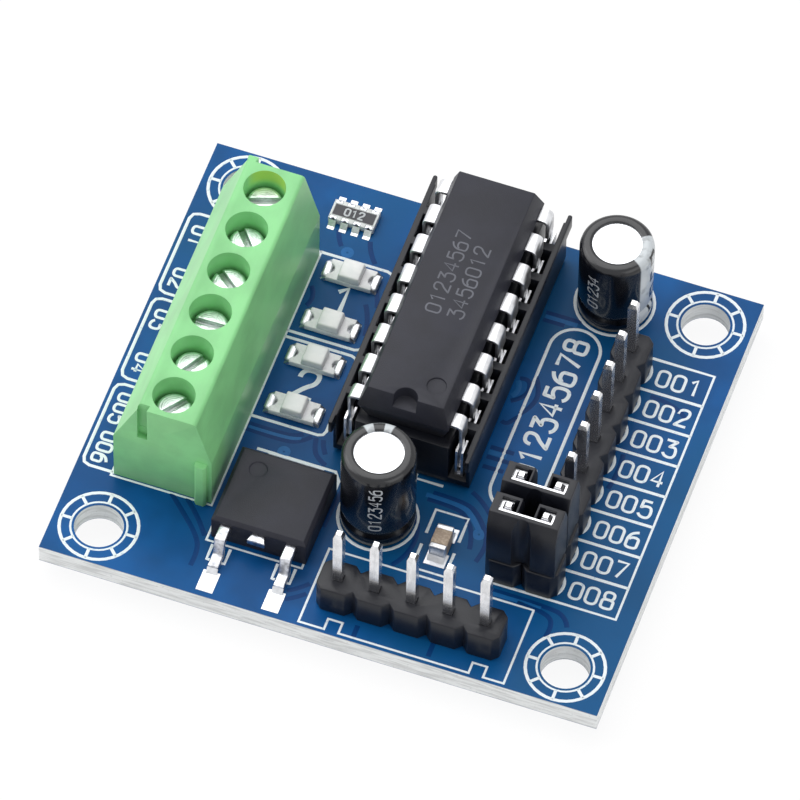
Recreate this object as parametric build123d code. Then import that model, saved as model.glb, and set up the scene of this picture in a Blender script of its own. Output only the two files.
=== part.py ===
from build123d import *
import os
from collections import namedtuple
from math import atan2, degrees, hypot, radians, tan

# DC motor driver module, in millimetres. The origin is the middle of the four mounting
# holes on the board's underside. +Z is up, +X points to the signal header's edge and
# +Y to the edge behind the chip.

# Circuit board
BOARD_LENGTH = 38.7
BOARD_WIDTH = 34.4
BOARD_THICKNESS = 1.6
MOUNT_SPACING_X = 32.4
MOUNT_SPACING_Y = 28.7
MOUNT_HOLE_D = 3.3

# Pins through the board and their solder
TAIL_LENGTH = 1.3
HOLE_ROOM = 0.12
HOLE_SIDES = 8
SOLDER_RING = 0.4
SOLDER_HEIGHT = 0.8
SOLDER_NECK = 0.12

# Terminal block: six rising-cage clamps
POLE_COUNT = 6
POLE_PITCH = 3.5
TERMINAL_X = -13.275
TERMINAL_Y = 0.4
TERMINAL_DEPTH = 6.85
TERMINAL_HEIGHT = 8.6
TERMINAL_END_WALL = 0.05
TERMINAL_SHOULDER_HEIGHT = 4.6
TERMINAL_PLATEAU = 4.0
TERMINAL_PLATEAU_SHIFT = 0.325
SCREW_SHIFT = 0.175
TERMINAL_EDGE_RADIUS = 0.3
TERMINAL_FLOOR = 1.0
RAIL_BOTTOM = 5.2
RAIL_WIDTH = 0.85
RAIL_DEPTH = 0.45
RAIL_FLARE = 0.08
RAIL_ROOM = 0.05
RAIL_INSET = 1.6
RIB_WIDTH = 0.8
RIB_HEIGHT = 4.4
RIB_DEPTH = 0.45
RIB_INSET = 0.3
CLAMP_LENGTH = 3.6
CLAMP_WIDTH = 2.5
CLAMP_HEIGHT = 3.35
CLAMP_WALL = 0.3
CLAMP_FLOOR = 0.5
CLAMP_ROOF = 0.75
CLAMP_TRAVEL = 1.4
CLAMP_ROOM = 0.1
CLAMP_END_ROOM = 0.05
CONTACT_THICKNESS = 0.5
CONTACT_SIDE_ROOM = 0.1
CONTACT_TOP_ROOM = 0.1
CONTACT_TAIL_WIDTH = 0.8
WIRE_ENTRY_WIDTH = 2.1
WIRE_ENTRY_HEIGHT = 1.5
WIRE_ENTRY_FUNNEL = 0.45
SCREW_HEAD_D = 2.35
SCREW_HEAD_HEIGHT = 0.8
SCREW_WELL_D = 2.85
SCREW_SHANK_D = 1.8
SCREW_SHANK_ROOM = 0.05
SCREW_TIP_ROOM = 0.05
SCREW_LEDGE = 0.5
SCREW_SLOT_WIDTH = 0.45
SCREW_SLOT_DEPTH = 0.45
SCREW_SLOT_TURNS = (20, 130, 142, 1, 60, 53)

# Chip and its socket
CHIP_X = 1.0
CHIP_Y = 6.35
CHIP_LEAD_COUNT = 16
PITCH = 2.54
CHIP_BODY_WIDTH = 6.35
CHIP_BODY_LENGTH = 19.35
CHIP_LOWER_HEIGHT = 1.75
CHIP_UPPER_HEIGHT = 1.65
CHIP_DRAFT = 18
CHIP_ROW_SPAN = 8.0
CHIP_LEAD_THICKNESS = 0.25
CHIP_SHOULDER_WIDTH = 1.5
CHIP_END_SHOULDER = 0.35
CHIP_LEAD_WIDTH = 0.5
CHIP_LEAD_LENGTH = 3.0
CHIP_BEND_RADIUS = 0.45
CHIP_NOTCH_D = 1.6
CHIP_NOTCH_DEPTH = 1.0
CHIP_DIMPLE_D = 1.3
CHIP_DIMPLE_DEPTH = 0.12
CHIP_DIMPLE_SIDE = 1.6
CHIP_DIMPLE_END = 2.1
SOCKET_WIDTH = 9.8
SOCKET_LENGTH = 19.65
SOCKET_HEIGHT = 3.95
SOCKET_STANDOFF = 0.3
SOCKET_FLOOR = 0.55
SOCKET_WALL = 0.4
SOCKET_CAVITY_DEPTH = 1.25
SOCKET_CAVITY_LENGTH = 1.95
SOCKET_INNER_WALL = 0.45
SOCKET_END_BAR = 1.5
SOCKET_HORN_LENGTH = 0.7
SOCKET_HORN_THICKNESS = 0.3
SOCKET_STEP_HEIGHT = 2.8
SOCKET_STEP_DEPTH = 0.15
SOCKET_CONTACT_THICKNESS = 0.15
SOCKET_CONTACT_WIDTH = 1.1
SOCKET_CONTACT_HEIGHT = 2.7
SOCKET_TAIL_WIDTH = 0.5

# Electrolytic capacitors: place, height and the direction of the lead pair
CAPACITOR_D = 5.0
CAPACITOR_LEAD_PITCH = 2.0
CAPACITOR_LEAD_D = 0.5
CAPACITOR_1 = (0.8, -7.45)
CAPACITOR_1_HEIGHT = 7.75
CAPACITOR_1_TURN = 90
CAPACITOR_2 = (9.95, 13.95)
CAPACITOR_2_HEIGHT = 7.05
CAPACITOR_2_TURN = 0
SLEEVE_THICKNESS = 0.12
SLEEVE_TOP_OPENING_D = 3.5
SLEEVE_BOTTOM_OPENING_D = 3.9
SLEEVE_CORNER = 0.5
CAN_BEAD_HEIGHT = 1.35
CAN_BEAD_DEPTH = 0.25
CAN_BEAD_WIDTH = 0.8
BUNG_D = 3.7
BUNG_HEIGHT = 1.0

# Regulator with its tab on the board
REGULATOR_X = -5.7
REGULATOR_Y = -9.55
REGULATOR_WIDTH = 6.6
REGULATOR_LENGTH = 6.1
REGULATOR_HEIGHT = 2.3
REGULATOR_CHAMFER = 0.25
REGULATOR_EJECTOR_D = 1.2
REGULATOR_EJECTOR_DEPTH = 0.08
TAB_WIDTH = 5.3
TAB_LENGTH = 6.6
TAB_THICKNESS = 0.5
TAB_REACH = 1.0
TAB_CORNER = 0.7
STUB_WIDTH = 0.85
STUB_TIP_WIDTH = 1.25
STUB_LENGTH = 0.55
REGULATOR_LEAD_SPACING = 4.56
REGULATOR_LEAD_WIDTH = 0.75
REGULATOR_LEAD_THICKNESS = 0.5
REGULATOR_LEAD_RISE = 1.3
REGULATOR_LEAD_REACH = 2.5
REGULATOR_LEAD_SHOULDER = 1.2
REGULATOR_FOOT_LENGTH = 1.0

# Pin headers
PIN_SIZE = 0.64
PIN_ABOVE_BASE = 5.27
PIN_POINT = 0.35
PIN_POINT_TAPER = 22
HEADER_WIDTH = 2.5
HEADER_HEIGHT = 2.5
HEADER_CHAMFER = 0.45
SIGNAL_PIN_COUNT = 8
SIGNAL_HEADER_INSET = 6.69
SIGNAL_HEADER_Y = 0.43
JUMPER_PIN_COUNT = 2
POWER_PIN_COUNT = 5
POWER_HEADER_X = 5.56
POWER_HEADER_INSET = 2.9

# Jumper caps
JUMPER_LENGTH = 4.75
JUMPER_WIDTH = 2.4
JUMPER_HEIGHT = 5.1
JUMPER_SEAT_ROOM = 0.05
JUMPER_HOLE = 1.15
JUMPER_GROOVE_D = 1.4
JUMPER_GROOVE_DEPTH = 0.45
JUMPER_NOTCH_WIDTH = 1.1
JUMPER_SLOPE_SIDE = 0.4
JUMPER_SLOPE_DROP = 1.2
JUMPER_CONTACT_THICKNESS = 0.18
JUMPER_CONTACT_ROOM = 0.03
JUMPER_CONTACT_HEIGHT = 4.1
JUMPER_CONTACT_SINK = 0.3
JUMPER_CONTACT_HOOK = 0.3

# Ceramic capacitor
CERAMIC_X = 5.5
CERAMIC_Y = -8.24
CERAMIC_WIDTH = 1.15
CERAMIC_LENGTH = 2.0
CERAMIC_HEIGHT = 1.25
CERAMIC_END = 0.42

# Resistor array
ARRAY_X = -8.63
ARRAY_Y = 14.5
ARRAY_LENGTH = 3.2
ARRAY_WIDTH = 1.6
ARRAY_HEIGHT = 0.5
ARRAY_END_COUNT = 4
ARRAY_END_PITCH = 0.84
ARRAY_END_WIDTH = 0.5
ARRAY_END_DEPTH = 0.28
ARRAY_NOTCH = 0.2

# Indicator lights
LIGHT_X = -7.2
LIGHT_YS = (9.9, 5.75, 2.7, -1.4)
LIGHT_LENGTH = 3.2
LIGHT_WIDTH = 1.6
LIGHT_BASE_HEIGHT = 0.45
LIGHT_NOTCH_D = 0.8
LENS_LENGTH = 1.6
LENS_HEIGHT = 0.6
LENS_DRAFT = 8

# Solder fillets on the upper face
FILLET_REACH = 0.35
FILLET_HEIGHT = 0.35

TOP = BOARD_THICKNESS

# A pin's tail through the board: its place and section. A round tail has no depth.
Tail = namedtuple("Tail", "x y width depth")


def block(low, high):
    """A box between two opposite corners."""
    size = [top - bottom for bottom, top in zip(low, high)]
    middle = [(bottom + top) / 2 for bottom, top in zip(low, high)]
    return Pos(*middle) * Box(*size)


def disc(x, y, bottom, top, diameter):
    """An upright cylinder between two heights."""
    return Pos(x, y, (bottom + top) / 2) * Cylinder(diameter / 2, top - bottom)


def wall_prism(points, length):
    """An outline of (x, z) points drawn along Y, half to each side."""
    return extrude(Plane.XZ * Polygon(*points, align=None), amount=length / 2, both=True)


def side_prism(points, width):
    """An outline of (y, z) points drawn along X, half to each side."""
    return extrude(Plane.YZ * Polygon(*points, align=None), amount=width / 2, both=True)


def spun(points):
    """An outline of (radius, z) points turned about Z."""
    return revolve(Plane.XZ * Polygon(*points, align=None), axis=Axis.Z)


def spread(count, pitch, middle=0.0):
    """Places along a row, from the high end to the low end."""
    return [middle + pitch * ((count - 1) / 2 - index) for index in range(count)]


# Tails and their holes


def tail_solid(tail, bottom, top):
    """The stretch of a tail between two heights."""
    if tail.depth:
        return block(
            (tail.x - tail.width / 2, tail.y - tail.depth / 2, bottom),
            (tail.x + tail.width / 2, tail.y + tail.depth / 2, top),
        )
    return disc(tail.x, tail.y, bottom, top, tail.width)


def hole_solid(tail, radius, bottom, top, taper=0):
    """An upright prism about a tail, with few faces because the solder hides it."""
    outline = RegularPolygon(radius, HOLE_SIDES, major_radius=False)
    return Pos(tail.x, tail.y, bottom) * extrude(outline, amount=top - bottom, taper=taper)


def hole_diameter(tail):
    """A plated hole clears the widest part of its tail."""
    return hypot(tail.width, tail.depth) + 2 * HOLE_ROOM


def solder_joint(tail):
    """A fillet under the board, tapering down the tail, with the tail's own hole."""
    wide = hole_diameter(tail) / 2 + SOLDER_RING
    narrow = hypot(tail.width, tail.depth) / 2 + SOLDER_NECK
    slope = degrees(atan2(wide - narrow, SOLDER_HEIGHT))
    cone = hole_solid(tail, narrow, -SOLDER_HEIGHT, 0, -slope)
    return cone - tail_solid(tail, -2 * SOLDER_HEIGHT, SOLDER_HEIGHT)


# Places worked out from the sizes

SIGNAL_HEADER_X = BOARD_LENGTH / 2 - SIGNAL_HEADER_INSET
POWER_HEADER_Y = POWER_HEADER_INSET - BOARD_WIDTH / 2
POLE_YS = spread(POLE_COUNT, POLE_PITCH, TERMINAL_Y)
SCREW_X = TERMINAL_X + SCREW_SHIFT
CLAMP_BOTTOM = TOP + TERMINAL_FLOOR + CLAMP_END_ROOM
CLAMP_TOP = CLAMP_BOTTOM + CLAMP_HEIGHT
POCKET_TOP = CLAMP_TOP + CLAMP_TRAVEL + CLAMP_END_ROOM
SCREW_SEAT = POCKET_TOP + SCREW_LEDGE
CONTACT_TOP = CLAMP_TOP - CLAMP_ROOF - CONTACT_TOP_ROOM
CONTACT_BOTTOM = CONTACT_TOP - CONTACT_THICKNESS
CONTACT_WIDTH = CLAMP_WIDTH - 2 * CLAMP_WALL - 2 * CONTACT_SIDE_ROOM
CONTACT_LEG_X = SCREW_X + CLAMP_LENGTH / 2 + CLAMP_ROOM
TERMINAL_TAILS = [
    Tail(CONTACT_LEG_X + CONTACT_THICKNESS / 2, y, CONTACT_THICKNESS, CONTACT_TAIL_WIDTH)
    for y in POLE_YS
]

SOCKET_BOTTOM = TOP + SOCKET_STANDOFF
SOCKET_TOP = SOCKET_BOTTOM + SOCKET_HEIGHT
CHIP_ROW_YS = spread(CHIP_LEAD_COUNT // 2, PITCH, CHIP_Y)
CHIP_LEAD_X = CHIP_ROW_SPAN / 2 - CHIP_LEAD_THICKNESS / 2
CHIP_PARTING = SOCKET_TOP + CHIP_LOWER_HEIGHT
CHIP_TOP = CHIP_PARTING + CHIP_UPPER_HEIGHT
SOCKET_TAILS = [
    Tail(CHIP_X + side * CHIP_LEAD_X, y, CHIP_LEAD_THICKNESS, SOCKET_TAIL_WIDTH)
    for side in (-1, 1)
    for y in CHIP_ROW_YS
]

SIGNAL_PINS = [(SIGNAL_HEADER_X, y) for y in spread(SIGNAL_PIN_COUNT, PITCH, SIGNAL_HEADER_Y)]
JUMPER_PINS = [(SIGNAL_HEADER_X - PITCH, y) for x, y in SIGNAL_PINS[-JUMPER_PIN_COUNT:]]
POWER_PINS = [(x, POWER_HEADER_Y) for x in spread(POWER_PIN_COUNT, PITCH, POWER_HEADER_X)]
HEADER_TOP = TOP + HEADER_HEIGHT
PIN_TIP = HEADER_TOP + PIN_ABOVE_BASE
HEADER_TAILS = [Tail(x, y, PIN_SIZE, PIN_SIZE) for x, y in SIGNAL_PINS + JUMPER_PINS + POWER_PINS]


def capacitor_tails(place, turn):
    """The two round leads of a capacitor."""
    offsets = [Pos(*place) * Rot(0, 0, turn) * Pos(x, 0) for x in spread(2, CAPACITOR_LEAD_PITCH)]
    spots = [offset.position for offset in offsets]
    return [Tail(spot.X, spot.Y, CAPACITOR_LEAD_D, 0) for spot in spots]


CAPACITOR_1_TAILS = capacitor_tails(CAPACITOR_1, CAPACITOR_1_TURN)
CAPACITOR_2_TAILS = capacitor_tails(CAPACITOR_2, CAPACITOR_2_TURN)
ALL_TAILS = (
    TERMINAL_TAILS + SOCKET_TAILS + HEADER_TAILS + CAPACITOR_1_TAILS + CAPACITOR_2_TAILS
)


# Circuit board


def circuit_board():
    """The board with its mounting holes and a plated hole for each tail."""
    board = block(
        (-BOARD_LENGTH / 2, -BOARD_WIDTH / 2, 0),
        (BOARD_LENGTH / 2, BOARD_WIDTH / 2, BOARD_THICKNESS),
    )
    mounts = [
        disc(x, y, -1, BOARD_THICKNESS + 1, MOUNT_HOLE_D)
        for x in spread(2, MOUNT_SPACING_X)
        for y in spread(2, MOUNT_SPACING_Y)
    ]
    holes = [
        hole_solid(tail, hole_diameter(tail) / 2, -1, BOARD_THICKNESS + 1) for tail in ALL_TAILS
    ]
    return board - (mounts + holes)


# Terminal block


def terminal_housing():
    """The moulding: a shouldered profile with a pocket, well and wire entry per pole."""
    outer = TERMINAL_DEPTH / 2
    middle = TERMINAL_X + TERMINAL_PLATEAU_SHIFT
    shoulder = TOP + TERMINAL_SHOULDER_HEIGHT
    top = TOP + TERMINAL_HEIGHT
    length = POLE_COUNT * POLE_PITCH + 2 * TERMINAL_END_WALL
    profile = [
        (TERMINAL_X - outer, TOP),
        (TERMINAL_X + outer, TOP),
        (TERMINAL_X + outer, shoulder),
        (middle + TERMINAL_PLATEAU / 2, top),
        (middle - TERMINAL_PLATEAU / 2, top),
        (TERMINAL_X - outer, shoulder),
    ]
    housing = Pos(0, TERMINAL_Y, 0) * wall_prism(profile, length)
    long_edges = housing.edges().filter_by(Axis.Y).sort_by(Axis.Z)[2:]
    housing = fillet(long_edges, TERMINAL_EDGE_RADIUS)
    near = TERMINAL_Y - length / 2
    far = TERMINAL_Y + length / 2
    beyond = Pos(0, TERMINAL_Y, 0) * wall_prism(profile, length + 4 * RAIL_DEPTH)
    housing -= Pos(0, near, 0) * rail(0)
    housing += Pos(0, far, 0) * rail(RAIL_ROOM) & beyond
    housing += rib(near)
    return housing - [Pos(0, y, 0) * pole_hollow() for y in POLE_YS]


def rail(slack):
    """A dovetail that joins one block to the next, running up through the sloped face."""
    middle = TERMINAL_X - TERMINAL_DEPTH / 2 + RAIL_INSET + RAIL_WIDTH / 2
    half = RAIL_WIDTH / 2 - slack
    outline = Polygon(
        (middle - half + RAIL_FLARE, 0),
        (middle + half - RAIL_FLARE, 0),
        (middle + half, RAIL_DEPTH - slack),
        (middle - half, RAIL_DEPTH - slack),
        align=None,
    )
    rise = TERMINAL_HEIGHT - RAIL_BOTTOM
    return extrude(Pos(0, 0, TOP + RAIL_BOTTOM) * outline, amount=rise)


def rib(near):
    """The upright rib that stands out of the near end."""
    right = TERMINAL_X + TERMINAL_DEPTH / 2 - RIB_INSET
    solid = block((right - RIB_WIDTH, near - RIB_DEPTH, TOP), (right, near, TOP + RIB_HEIGHT))
    return chamfer(solid.edges().filter_by(Axis.Z).group_by(Axis.Y)[0], RIB_DEPTH / 3)


def pole_hollow():
    """Everything that is cut from the housing for one pole, about its screw's Y."""
    pocket_half = CLAMP_WIDTH / 2 + CLAMP_ROOM
    pocket_left = SCREW_X - CLAMP_LENGTH / 2 - CLAMP_ROOM
    floor = TOP + TERMINAL_FLOOR
    pocket = block((pocket_left, -pocket_half, floor), (CONTACT_LEG_X, pocket_half, POCKET_TOP))
    leg_slot = block(
        (CONTACT_LEG_X, -CONTACT_WIDTH / 2, TOP),
        (CONTACT_LEG_X + CONTACT_THICKNESS, CONTACT_WIDTH / 2, CONTACT_TOP),
    )
    shank = disc(SCREW_X, 0, POCKET_TOP, SCREW_SEAT, SCREW_SHANK_D + 4 * SCREW_SHANK_ROOM)
    well = disc(SCREW_X, 0, SCREW_SEAT, TOP + TERMINAL_HEIGHT, SCREW_WELL_D)
    return pocket + [leg_slot, shank, well, wire_entry(pocket_left)]


def wire_entry(pocket_left):
    """A funnel in the outer face that narrows to the cage's window."""
    face = TERMINAL_X - TERMINAL_DEPTH / 2
    middle = CONTACT_BOTTOM - WIRE_ENTRY_HEIGHT / 2
    mouth = Plane((face, 0, middle), x_dir=(0, -1, 0), z_dir=(-1, 0, 0))
    throat = Plane((pocket_left, 0, middle), x_dir=(0, -1, 0), z_dir=(-1, 0, 0))
    wide = mouth * Rectangle(
        WIRE_ENTRY_WIDTH + 2 * WIRE_ENTRY_FUNNEL, WIRE_ENTRY_HEIGHT + 2 * WIRE_ENTRY_FUNNEL
    )
    narrow = throat * Rectangle(WIRE_ENTRY_WIDTH, WIRE_ENTRY_HEIGHT)
    return loft([wide, narrow])


def terminal_screw(y, turn):
    """A slotted cheese-head screw whose plain tip bears on the contact bar."""
    head = disc(0, 0, SCREW_SEAT, SCREW_SEAT + SCREW_HEAD_HEIGHT, SCREW_HEAD_D)
    head = chamfer(head.edges().group_by(Axis.Z)[-1], SCREW_HEAD_HEIGHT / 6)
    shank = disc(0, 0, CONTACT_TOP + SCREW_TIP_ROOM, SCREW_SEAT, SCREW_SHANK_D)
    head_top = SCREW_SEAT + SCREW_HEAD_HEIGHT
    slot = block(
        (-SCREW_HEAD_D, -SCREW_SLOT_WIDTH / 2, head_top - SCREW_SLOT_DEPTH),
        (SCREW_HEAD_D, SCREW_SLOT_WIDTH / 2, head_top + 1),
    )
    return Pos(SCREW_X, y, SCREW_TIP_ROOM / 2) * Rot(0, 0, turn) * (head + shank - slot)


def terminal_clamp(y):
    """The cage that the screw raises: a square ring with a threaded roof."""
    half = CLAMP_LENGTH / 2
    ring = side_prism(
        [
            (-CLAMP_WIDTH / 2, CLAMP_BOTTOM),
            (CLAMP_WIDTH / 2, CLAMP_BOTTOM),
            (CLAMP_WIDTH / 2, CLAMP_TOP),
            (-CLAMP_WIDTH / 2, CLAMP_TOP),
        ],
        CLAMP_LENGTH,
    )
    ring = chamfer(ring.edges().filter_by(Axis.X), CLAMP_WALL / 2)
    window_half = CLAMP_WIDTH / 2 - CLAMP_WALL
    ring -= block(
        (-half, -window_half, CLAMP_BOTTOM + CLAMP_FLOOR),
        (half, window_half, CLAMP_TOP - CLAMP_ROOF),
    )
    ring -= disc(0, 0, CLAMP_TOP - CLAMP_ROOF, CLAMP_TOP, SCREW_SHANK_D + 2 * SCREW_SHANK_ROOM)
    return Pos(SCREW_X, y, 0) * ring


def terminal_contact(tail):
    """The bar that the wire is pressed up against, its leg and its tail."""
    left = SCREW_X - CLAMP_LENGTH / 2
    right = CONTACT_LEG_X + CONTACT_THICKNESS
    bar = wall_prism(
        [
            (left, CONTACT_BOTTOM),
            (CONTACT_LEG_X, CONTACT_BOTTOM),
            (CONTACT_LEG_X, TOP),
            (right, TOP),
            (right, CONTACT_TOP),
            (left, CONTACT_TOP),
        ],
        CONTACT_WIDTH,
    )
    return Pos(0, tail.y, 0) * bar + tail_solid(tail, -TAIL_LENGTH, TOP)


# Chip and socket


def half_body(width, length, height):
    """One half of the chip's body, drafted away from the parting face."""
    return extrude(Rectangle(width, length), amount=height, taper=CHIP_DRAFT)


def chip_body():
    """Two drafted halves with a half-round notch and a shallow dimple."""
    upper = half_body(CHIP_BODY_WIDTH, CHIP_BODY_LENGTH, CHIP_UPPER_HEIGHT)
    lower = half_body(CHIP_BODY_WIDTH, CHIP_BODY_LENGTH, CHIP_LOWER_HEIGHT)
    body = Pos(0, 0, CHIP_PARTING) * (upper + Rot(180, 0, 0) * lower)
    slope = CHIP_UPPER_HEIGHT * tan(radians(CHIP_DRAFT))
    top_end = slope - CHIP_BODY_LENGTH / 2
    notch = Pos(0, top_end, CHIP_TOP) * Cylinder(CHIP_NOTCH_D / 2, 2 * CHIP_NOTCH_DEPTH)
    notch += block(
        (-CHIP_NOTCH_D / 2, -CHIP_BODY_LENGTH, CHIP_TOP - CHIP_NOTCH_DEPTH),
        (CHIP_NOTCH_D / 2, top_end, CHIP_TOP + 1),
    )
    dimple_y = CHIP_DIMPLE_END - CHIP_BODY_LENGTH / 2
    dimple = Pos(CHIP_DIMPLE_SIDE, dimple_y, CHIP_TOP)
    dimple *= Cylinder(CHIP_DIMPLE_D / 2, 2 * CHIP_DIMPLE_DEPTH)
    return Pos(CHIP_X, CHIP_Y, 0) * (body - [notch, dimple])


def chip_lead(index, body):
    """One lead: a wide shoulder that bends down and narrows into the socket."""
    y = CHIP_ROW_YS[index]
    low = high = CHIP_SHOULDER_WIDTH / 2
    if index == 0:
        high = CHIP_END_SHOULDER
    if index == len(CHIP_ROW_YS) - 1:
        low = CHIP_END_SHOULDER
    outer = CHIP_ROW_SPAN / 2
    inner = outer - CHIP_LEAD_THICKNESS
    upper = CHIP_PARTING + CHIP_LEAD_THICKNESS / 2
    lower = CHIP_PARTING - CHIP_LEAD_THICKNESS / 2
    start = CHIP_BODY_WIDTH / 2 - CHIP_LEAD_THICKNESS
    profile = Plane.XZ * Polygon(
        (start, lower),
        (inner, lower),
        (inner, SOCKET_TOP),
        (outer, SOCKET_TOP),
        (outer, upper),
        (start, upper),
        align=None,
    )
    bent = Pos(0, (high - low) / 2, 0) * extrude(profile, amount=(high + low) / 2, both=True)
    corners = bent.edges().filter_by(Axis.Y)
    bent = fillet(corners.filter_by(lambda edge: is_at(edge, outer, upper)), CHIP_BEND_RADIUS)
    inside = bent.edges().filter_by(Axis.Y).filter_by(lambda edge: is_at(edge, inner, lower))
    bent = fillet(inside, CHIP_BEND_RADIUS - CHIP_LEAD_THICKNESS)
    leg = block(
        (inner, -CHIP_LEAD_WIDTH / 2, SOCKET_TOP - CHIP_LEAD_LENGTH),
        (outer, CHIP_LEAD_WIDTH / 2, SOCKET_TOP),
    )
    leg = chamfer(leg.edges().group_by(Axis.Z)[0].filter_by(Axis.X), CHIP_LEAD_WIDTH / 4)
    return Pos(0, y, 0) * (bent + leg) - body


def is_at(edge, x, z):
    """Whether an edge along Y lies at the given x and z."""
    middle = edge.center()
    return abs(middle.X - x) < 1e-6 and abs(middle.Z - z) < 1e-6


def chip_leads():
    """Both rows of leads, the second a mirror of the first."""
    body = Pos(-CHIP_X, 0, 0) * chip_body()
    row = [chip_lead(index, body) for index in range(len(CHIP_ROW_YS))]
    mirrored = [mirror(lead, about=Plane.YZ) for lead in row]
    return [Pos(CHIP_X, 0, 0) * lead for lead in row + mirrored]


def socket_frame():
    """Two rails of open-topped cavities, two end bars and the walls' horns."""
    half_width = SOCKET_WIDTH / 2
    half_length = SOCKET_LENGTH / 2
    frame = block(
        (-half_width, -half_length, SOCKET_BOTTOM), (half_width, half_length, SOCKET_TOP)
    )
    cavity_outer = half_width - SOCKET_WALL
    cavity_inner = cavity_outer - SOCKET_CAVITY_DEPTH
    opening = cavity_inner - SOCKET_INNER_WALL
    frame -= block(
        (-opening, SOCKET_END_BAR - half_length, SOCKET_BOTTOM),
        (opening, half_length - SOCKET_END_BAR, SOCKET_TOP),
    )
    cuts = []
    for side in (-1, 1):
        inner, outer = sorted((side * cavity_inner, side * cavity_outer))
        for y in CHIP_ROW_YS:
            along = y - CHIP_Y
            cuts.append(
                block(
                    (inner, along - SOCKET_CAVITY_LENGTH / 2, SOCKET_BOTTOM + SOCKET_FLOOR),
                    (outer, along + SOCKET_CAVITY_LENGTH / 2, SOCKET_TOP),
                )
            )
            tail = Tail(side * CHIP_LEAD_X, along, CHIP_LEAD_THICKNESS, SOCKET_TAIL_WIDTH)
            cuts.append(tail_solid(tail, SOCKET_BOTTOM, SOCKET_BOTTOM + SOCKET_FLOOR))
        step_inner, step_outer = sorted(
            (side * (half_width - SOCKET_STEP_DEPTH), side * half_width)
        )
        cuts.append(
            block(
                (step_inner, -half_length, SOCKET_BOTTOM),
                (step_outer, half_length, SOCKET_BOTTOM + SOCKET_STEP_HEIGHT),
            )
        )
    frame = frame - cuts
    horn_bottom = SOCKET_BOTTOM + SOCKET_STEP_HEIGHT
    for side in (-1, 1):
        for end in (-1, 1):
            frame += horn(side, end, horn_bottom)
    for end in (-1, 1):
        for side in (-1, 1):
            foot_y = end * (half_length - SOCKET_END_BAR / 2)
            frame += Pos(side * opening / 2, foot_y, TOP + SOCKET_STANDOFF / 2) * Cylinder(
                SOCKET_END_BAR / 3, SOCKET_STANDOFF
            )
    return Pos(CHIP_X, CHIP_Y, 0) * frame


def horn(side, end, bottom):
    """The rounded end of a side wall, past the socket's end bar."""
    outer = side * SOCKET_WIDTH / 2
    inner = side * (SOCKET_WIDTH / 2 - SOCKET_HORN_THICKNESS)
    start = end * SOCKET_LENGTH / 2
    stop = end * (SOCKET_LENGTH / 2 + SOCKET_HORN_LENGTH)
    low_x, high_x = sorted((outer, inner))
    low_y, high_y = sorted((start, stop))
    wall = block((low_x, low_y, bottom), (high_x, high_y, SOCKET_TOP))
    tip = wall.edges().filter_by(Axis.Z).filter_by(lambda edge: abs(edge.center().Y - stop) < 1e-6)
    return fillet(tip, SOCKET_HORN_THICKNESS * 0.45)


def socket_contact(tail):
    """A folded contact: two leaves that hold the chip's lead, and a tail."""
    floor = SOCKET_BOTTOM + SOCKET_FLOOR
    inner = CHIP_LEAD_THICKNESS / 2
    outer = inner + SOCKET_CONTACT_THICKNESS
    top = floor + SOCKET_CONTACT_HEIGHT
    fork = wall_prism(
        [
            (-outer, floor),
            (outer, floor),
            (outer, top),
            (inner, top),
            (inner, floor + SOCKET_CONTACT_THICKNESS),
            (-inner, floor + SOCKET_CONTACT_THICKNESS),
            (-inner, top),
            (-outer, top),
        ],
        SOCKET_CONTACT_WIDTH,
    )
    return Pos(tail.x, tail.y, 0) * fork + tail_solid(tail, -TAIL_LENGTH, floor)


# Electrolytic capacitors


def can_outline(height, inset):
    """The can's side as (radius, z) points, with its rolled bead, drawn in by an inset."""
    radius = CAPACITOR_D / 2 - inset
    bead_low = CAN_BEAD_HEIGHT - CAN_BEAD_WIDTH / 2
    bead_high = CAN_BEAD_HEIGHT + CAN_BEAD_WIDTH / 2
    return [
        (radius - SLEEVE_CORNER / 2, inset),
        (radius, SLEEVE_CORNER / 2 + inset),
        (radius, bead_low),
        (radius - CAN_BEAD_DEPTH, CAN_BEAD_HEIGHT),
        (radius, bead_high),
        (radius, height - SLEEVE_CORNER),
        (radius - SLEEVE_CORNER * 0.3, height - SLEEVE_CORNER * 0.3),
        (radius - SLEEVE_CORNER, height),
    ]


def capacitor_can(height):
    """The aluminium can, closed at the top, with a recess for the bung."""
    side = can_outline(height - SLEEVE_THICKNESS, SLEEVE_THICKNESS)
    can = spun([(0, SLEEVE_THICKNESS)] + side + [(0, height - SLEEVE_THICKNESS)])
    return can - disc(0, 0, SLEEVE_THICKNESS, BUNG_HEIGHT, BUNG_D)


def capacitor_sleeve(height):
    """The shrunk sleeve, open over the disc on top and under the bung."""
    outer = can_outline(height, 0)
    full = spun([(0, 0)] + outer + [(0, height)])
    side = can_outline(height - SLEEVE_THICKNESS, SLEEVE_THICKNESS)
    core = spun([(0, SLEEVE_THICKNESS)] + side + [(0, height - SLEEVE_THICKNESS)])
    top_hole = disc(0, 0, height / 2, height + 1, SLEEVE_TOP_OPENING_D)
    bottom_hole = disc(0, 0, -1, height / 2, SLEEVE_BOTTOM_OPENING_D)
    return full - [core, top_hole, bottom_hole]


def capacitor_bung(turn):
    """The rubber bung in the can's open end, standing on the board."""
    bung = disc(0, 0, 0, BUNG_HEIGHT, BUNG_D)
    leads = [
        disc(spot.x, spot.y, 0, BUNG_HEIGHT, CAPACITOR_LEAD_D)
        for spot in capacitor_tails((0, 0), turn)
    ]
    return bung - leads


def capacitor_leads(tails):
    """Two straight leads from the bung through the board."""
    return [tail_solid(tail, -TAIL_LENGTH, TOP + BUNG_HEIGHT) for tail in tails]


# Regulator


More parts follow.
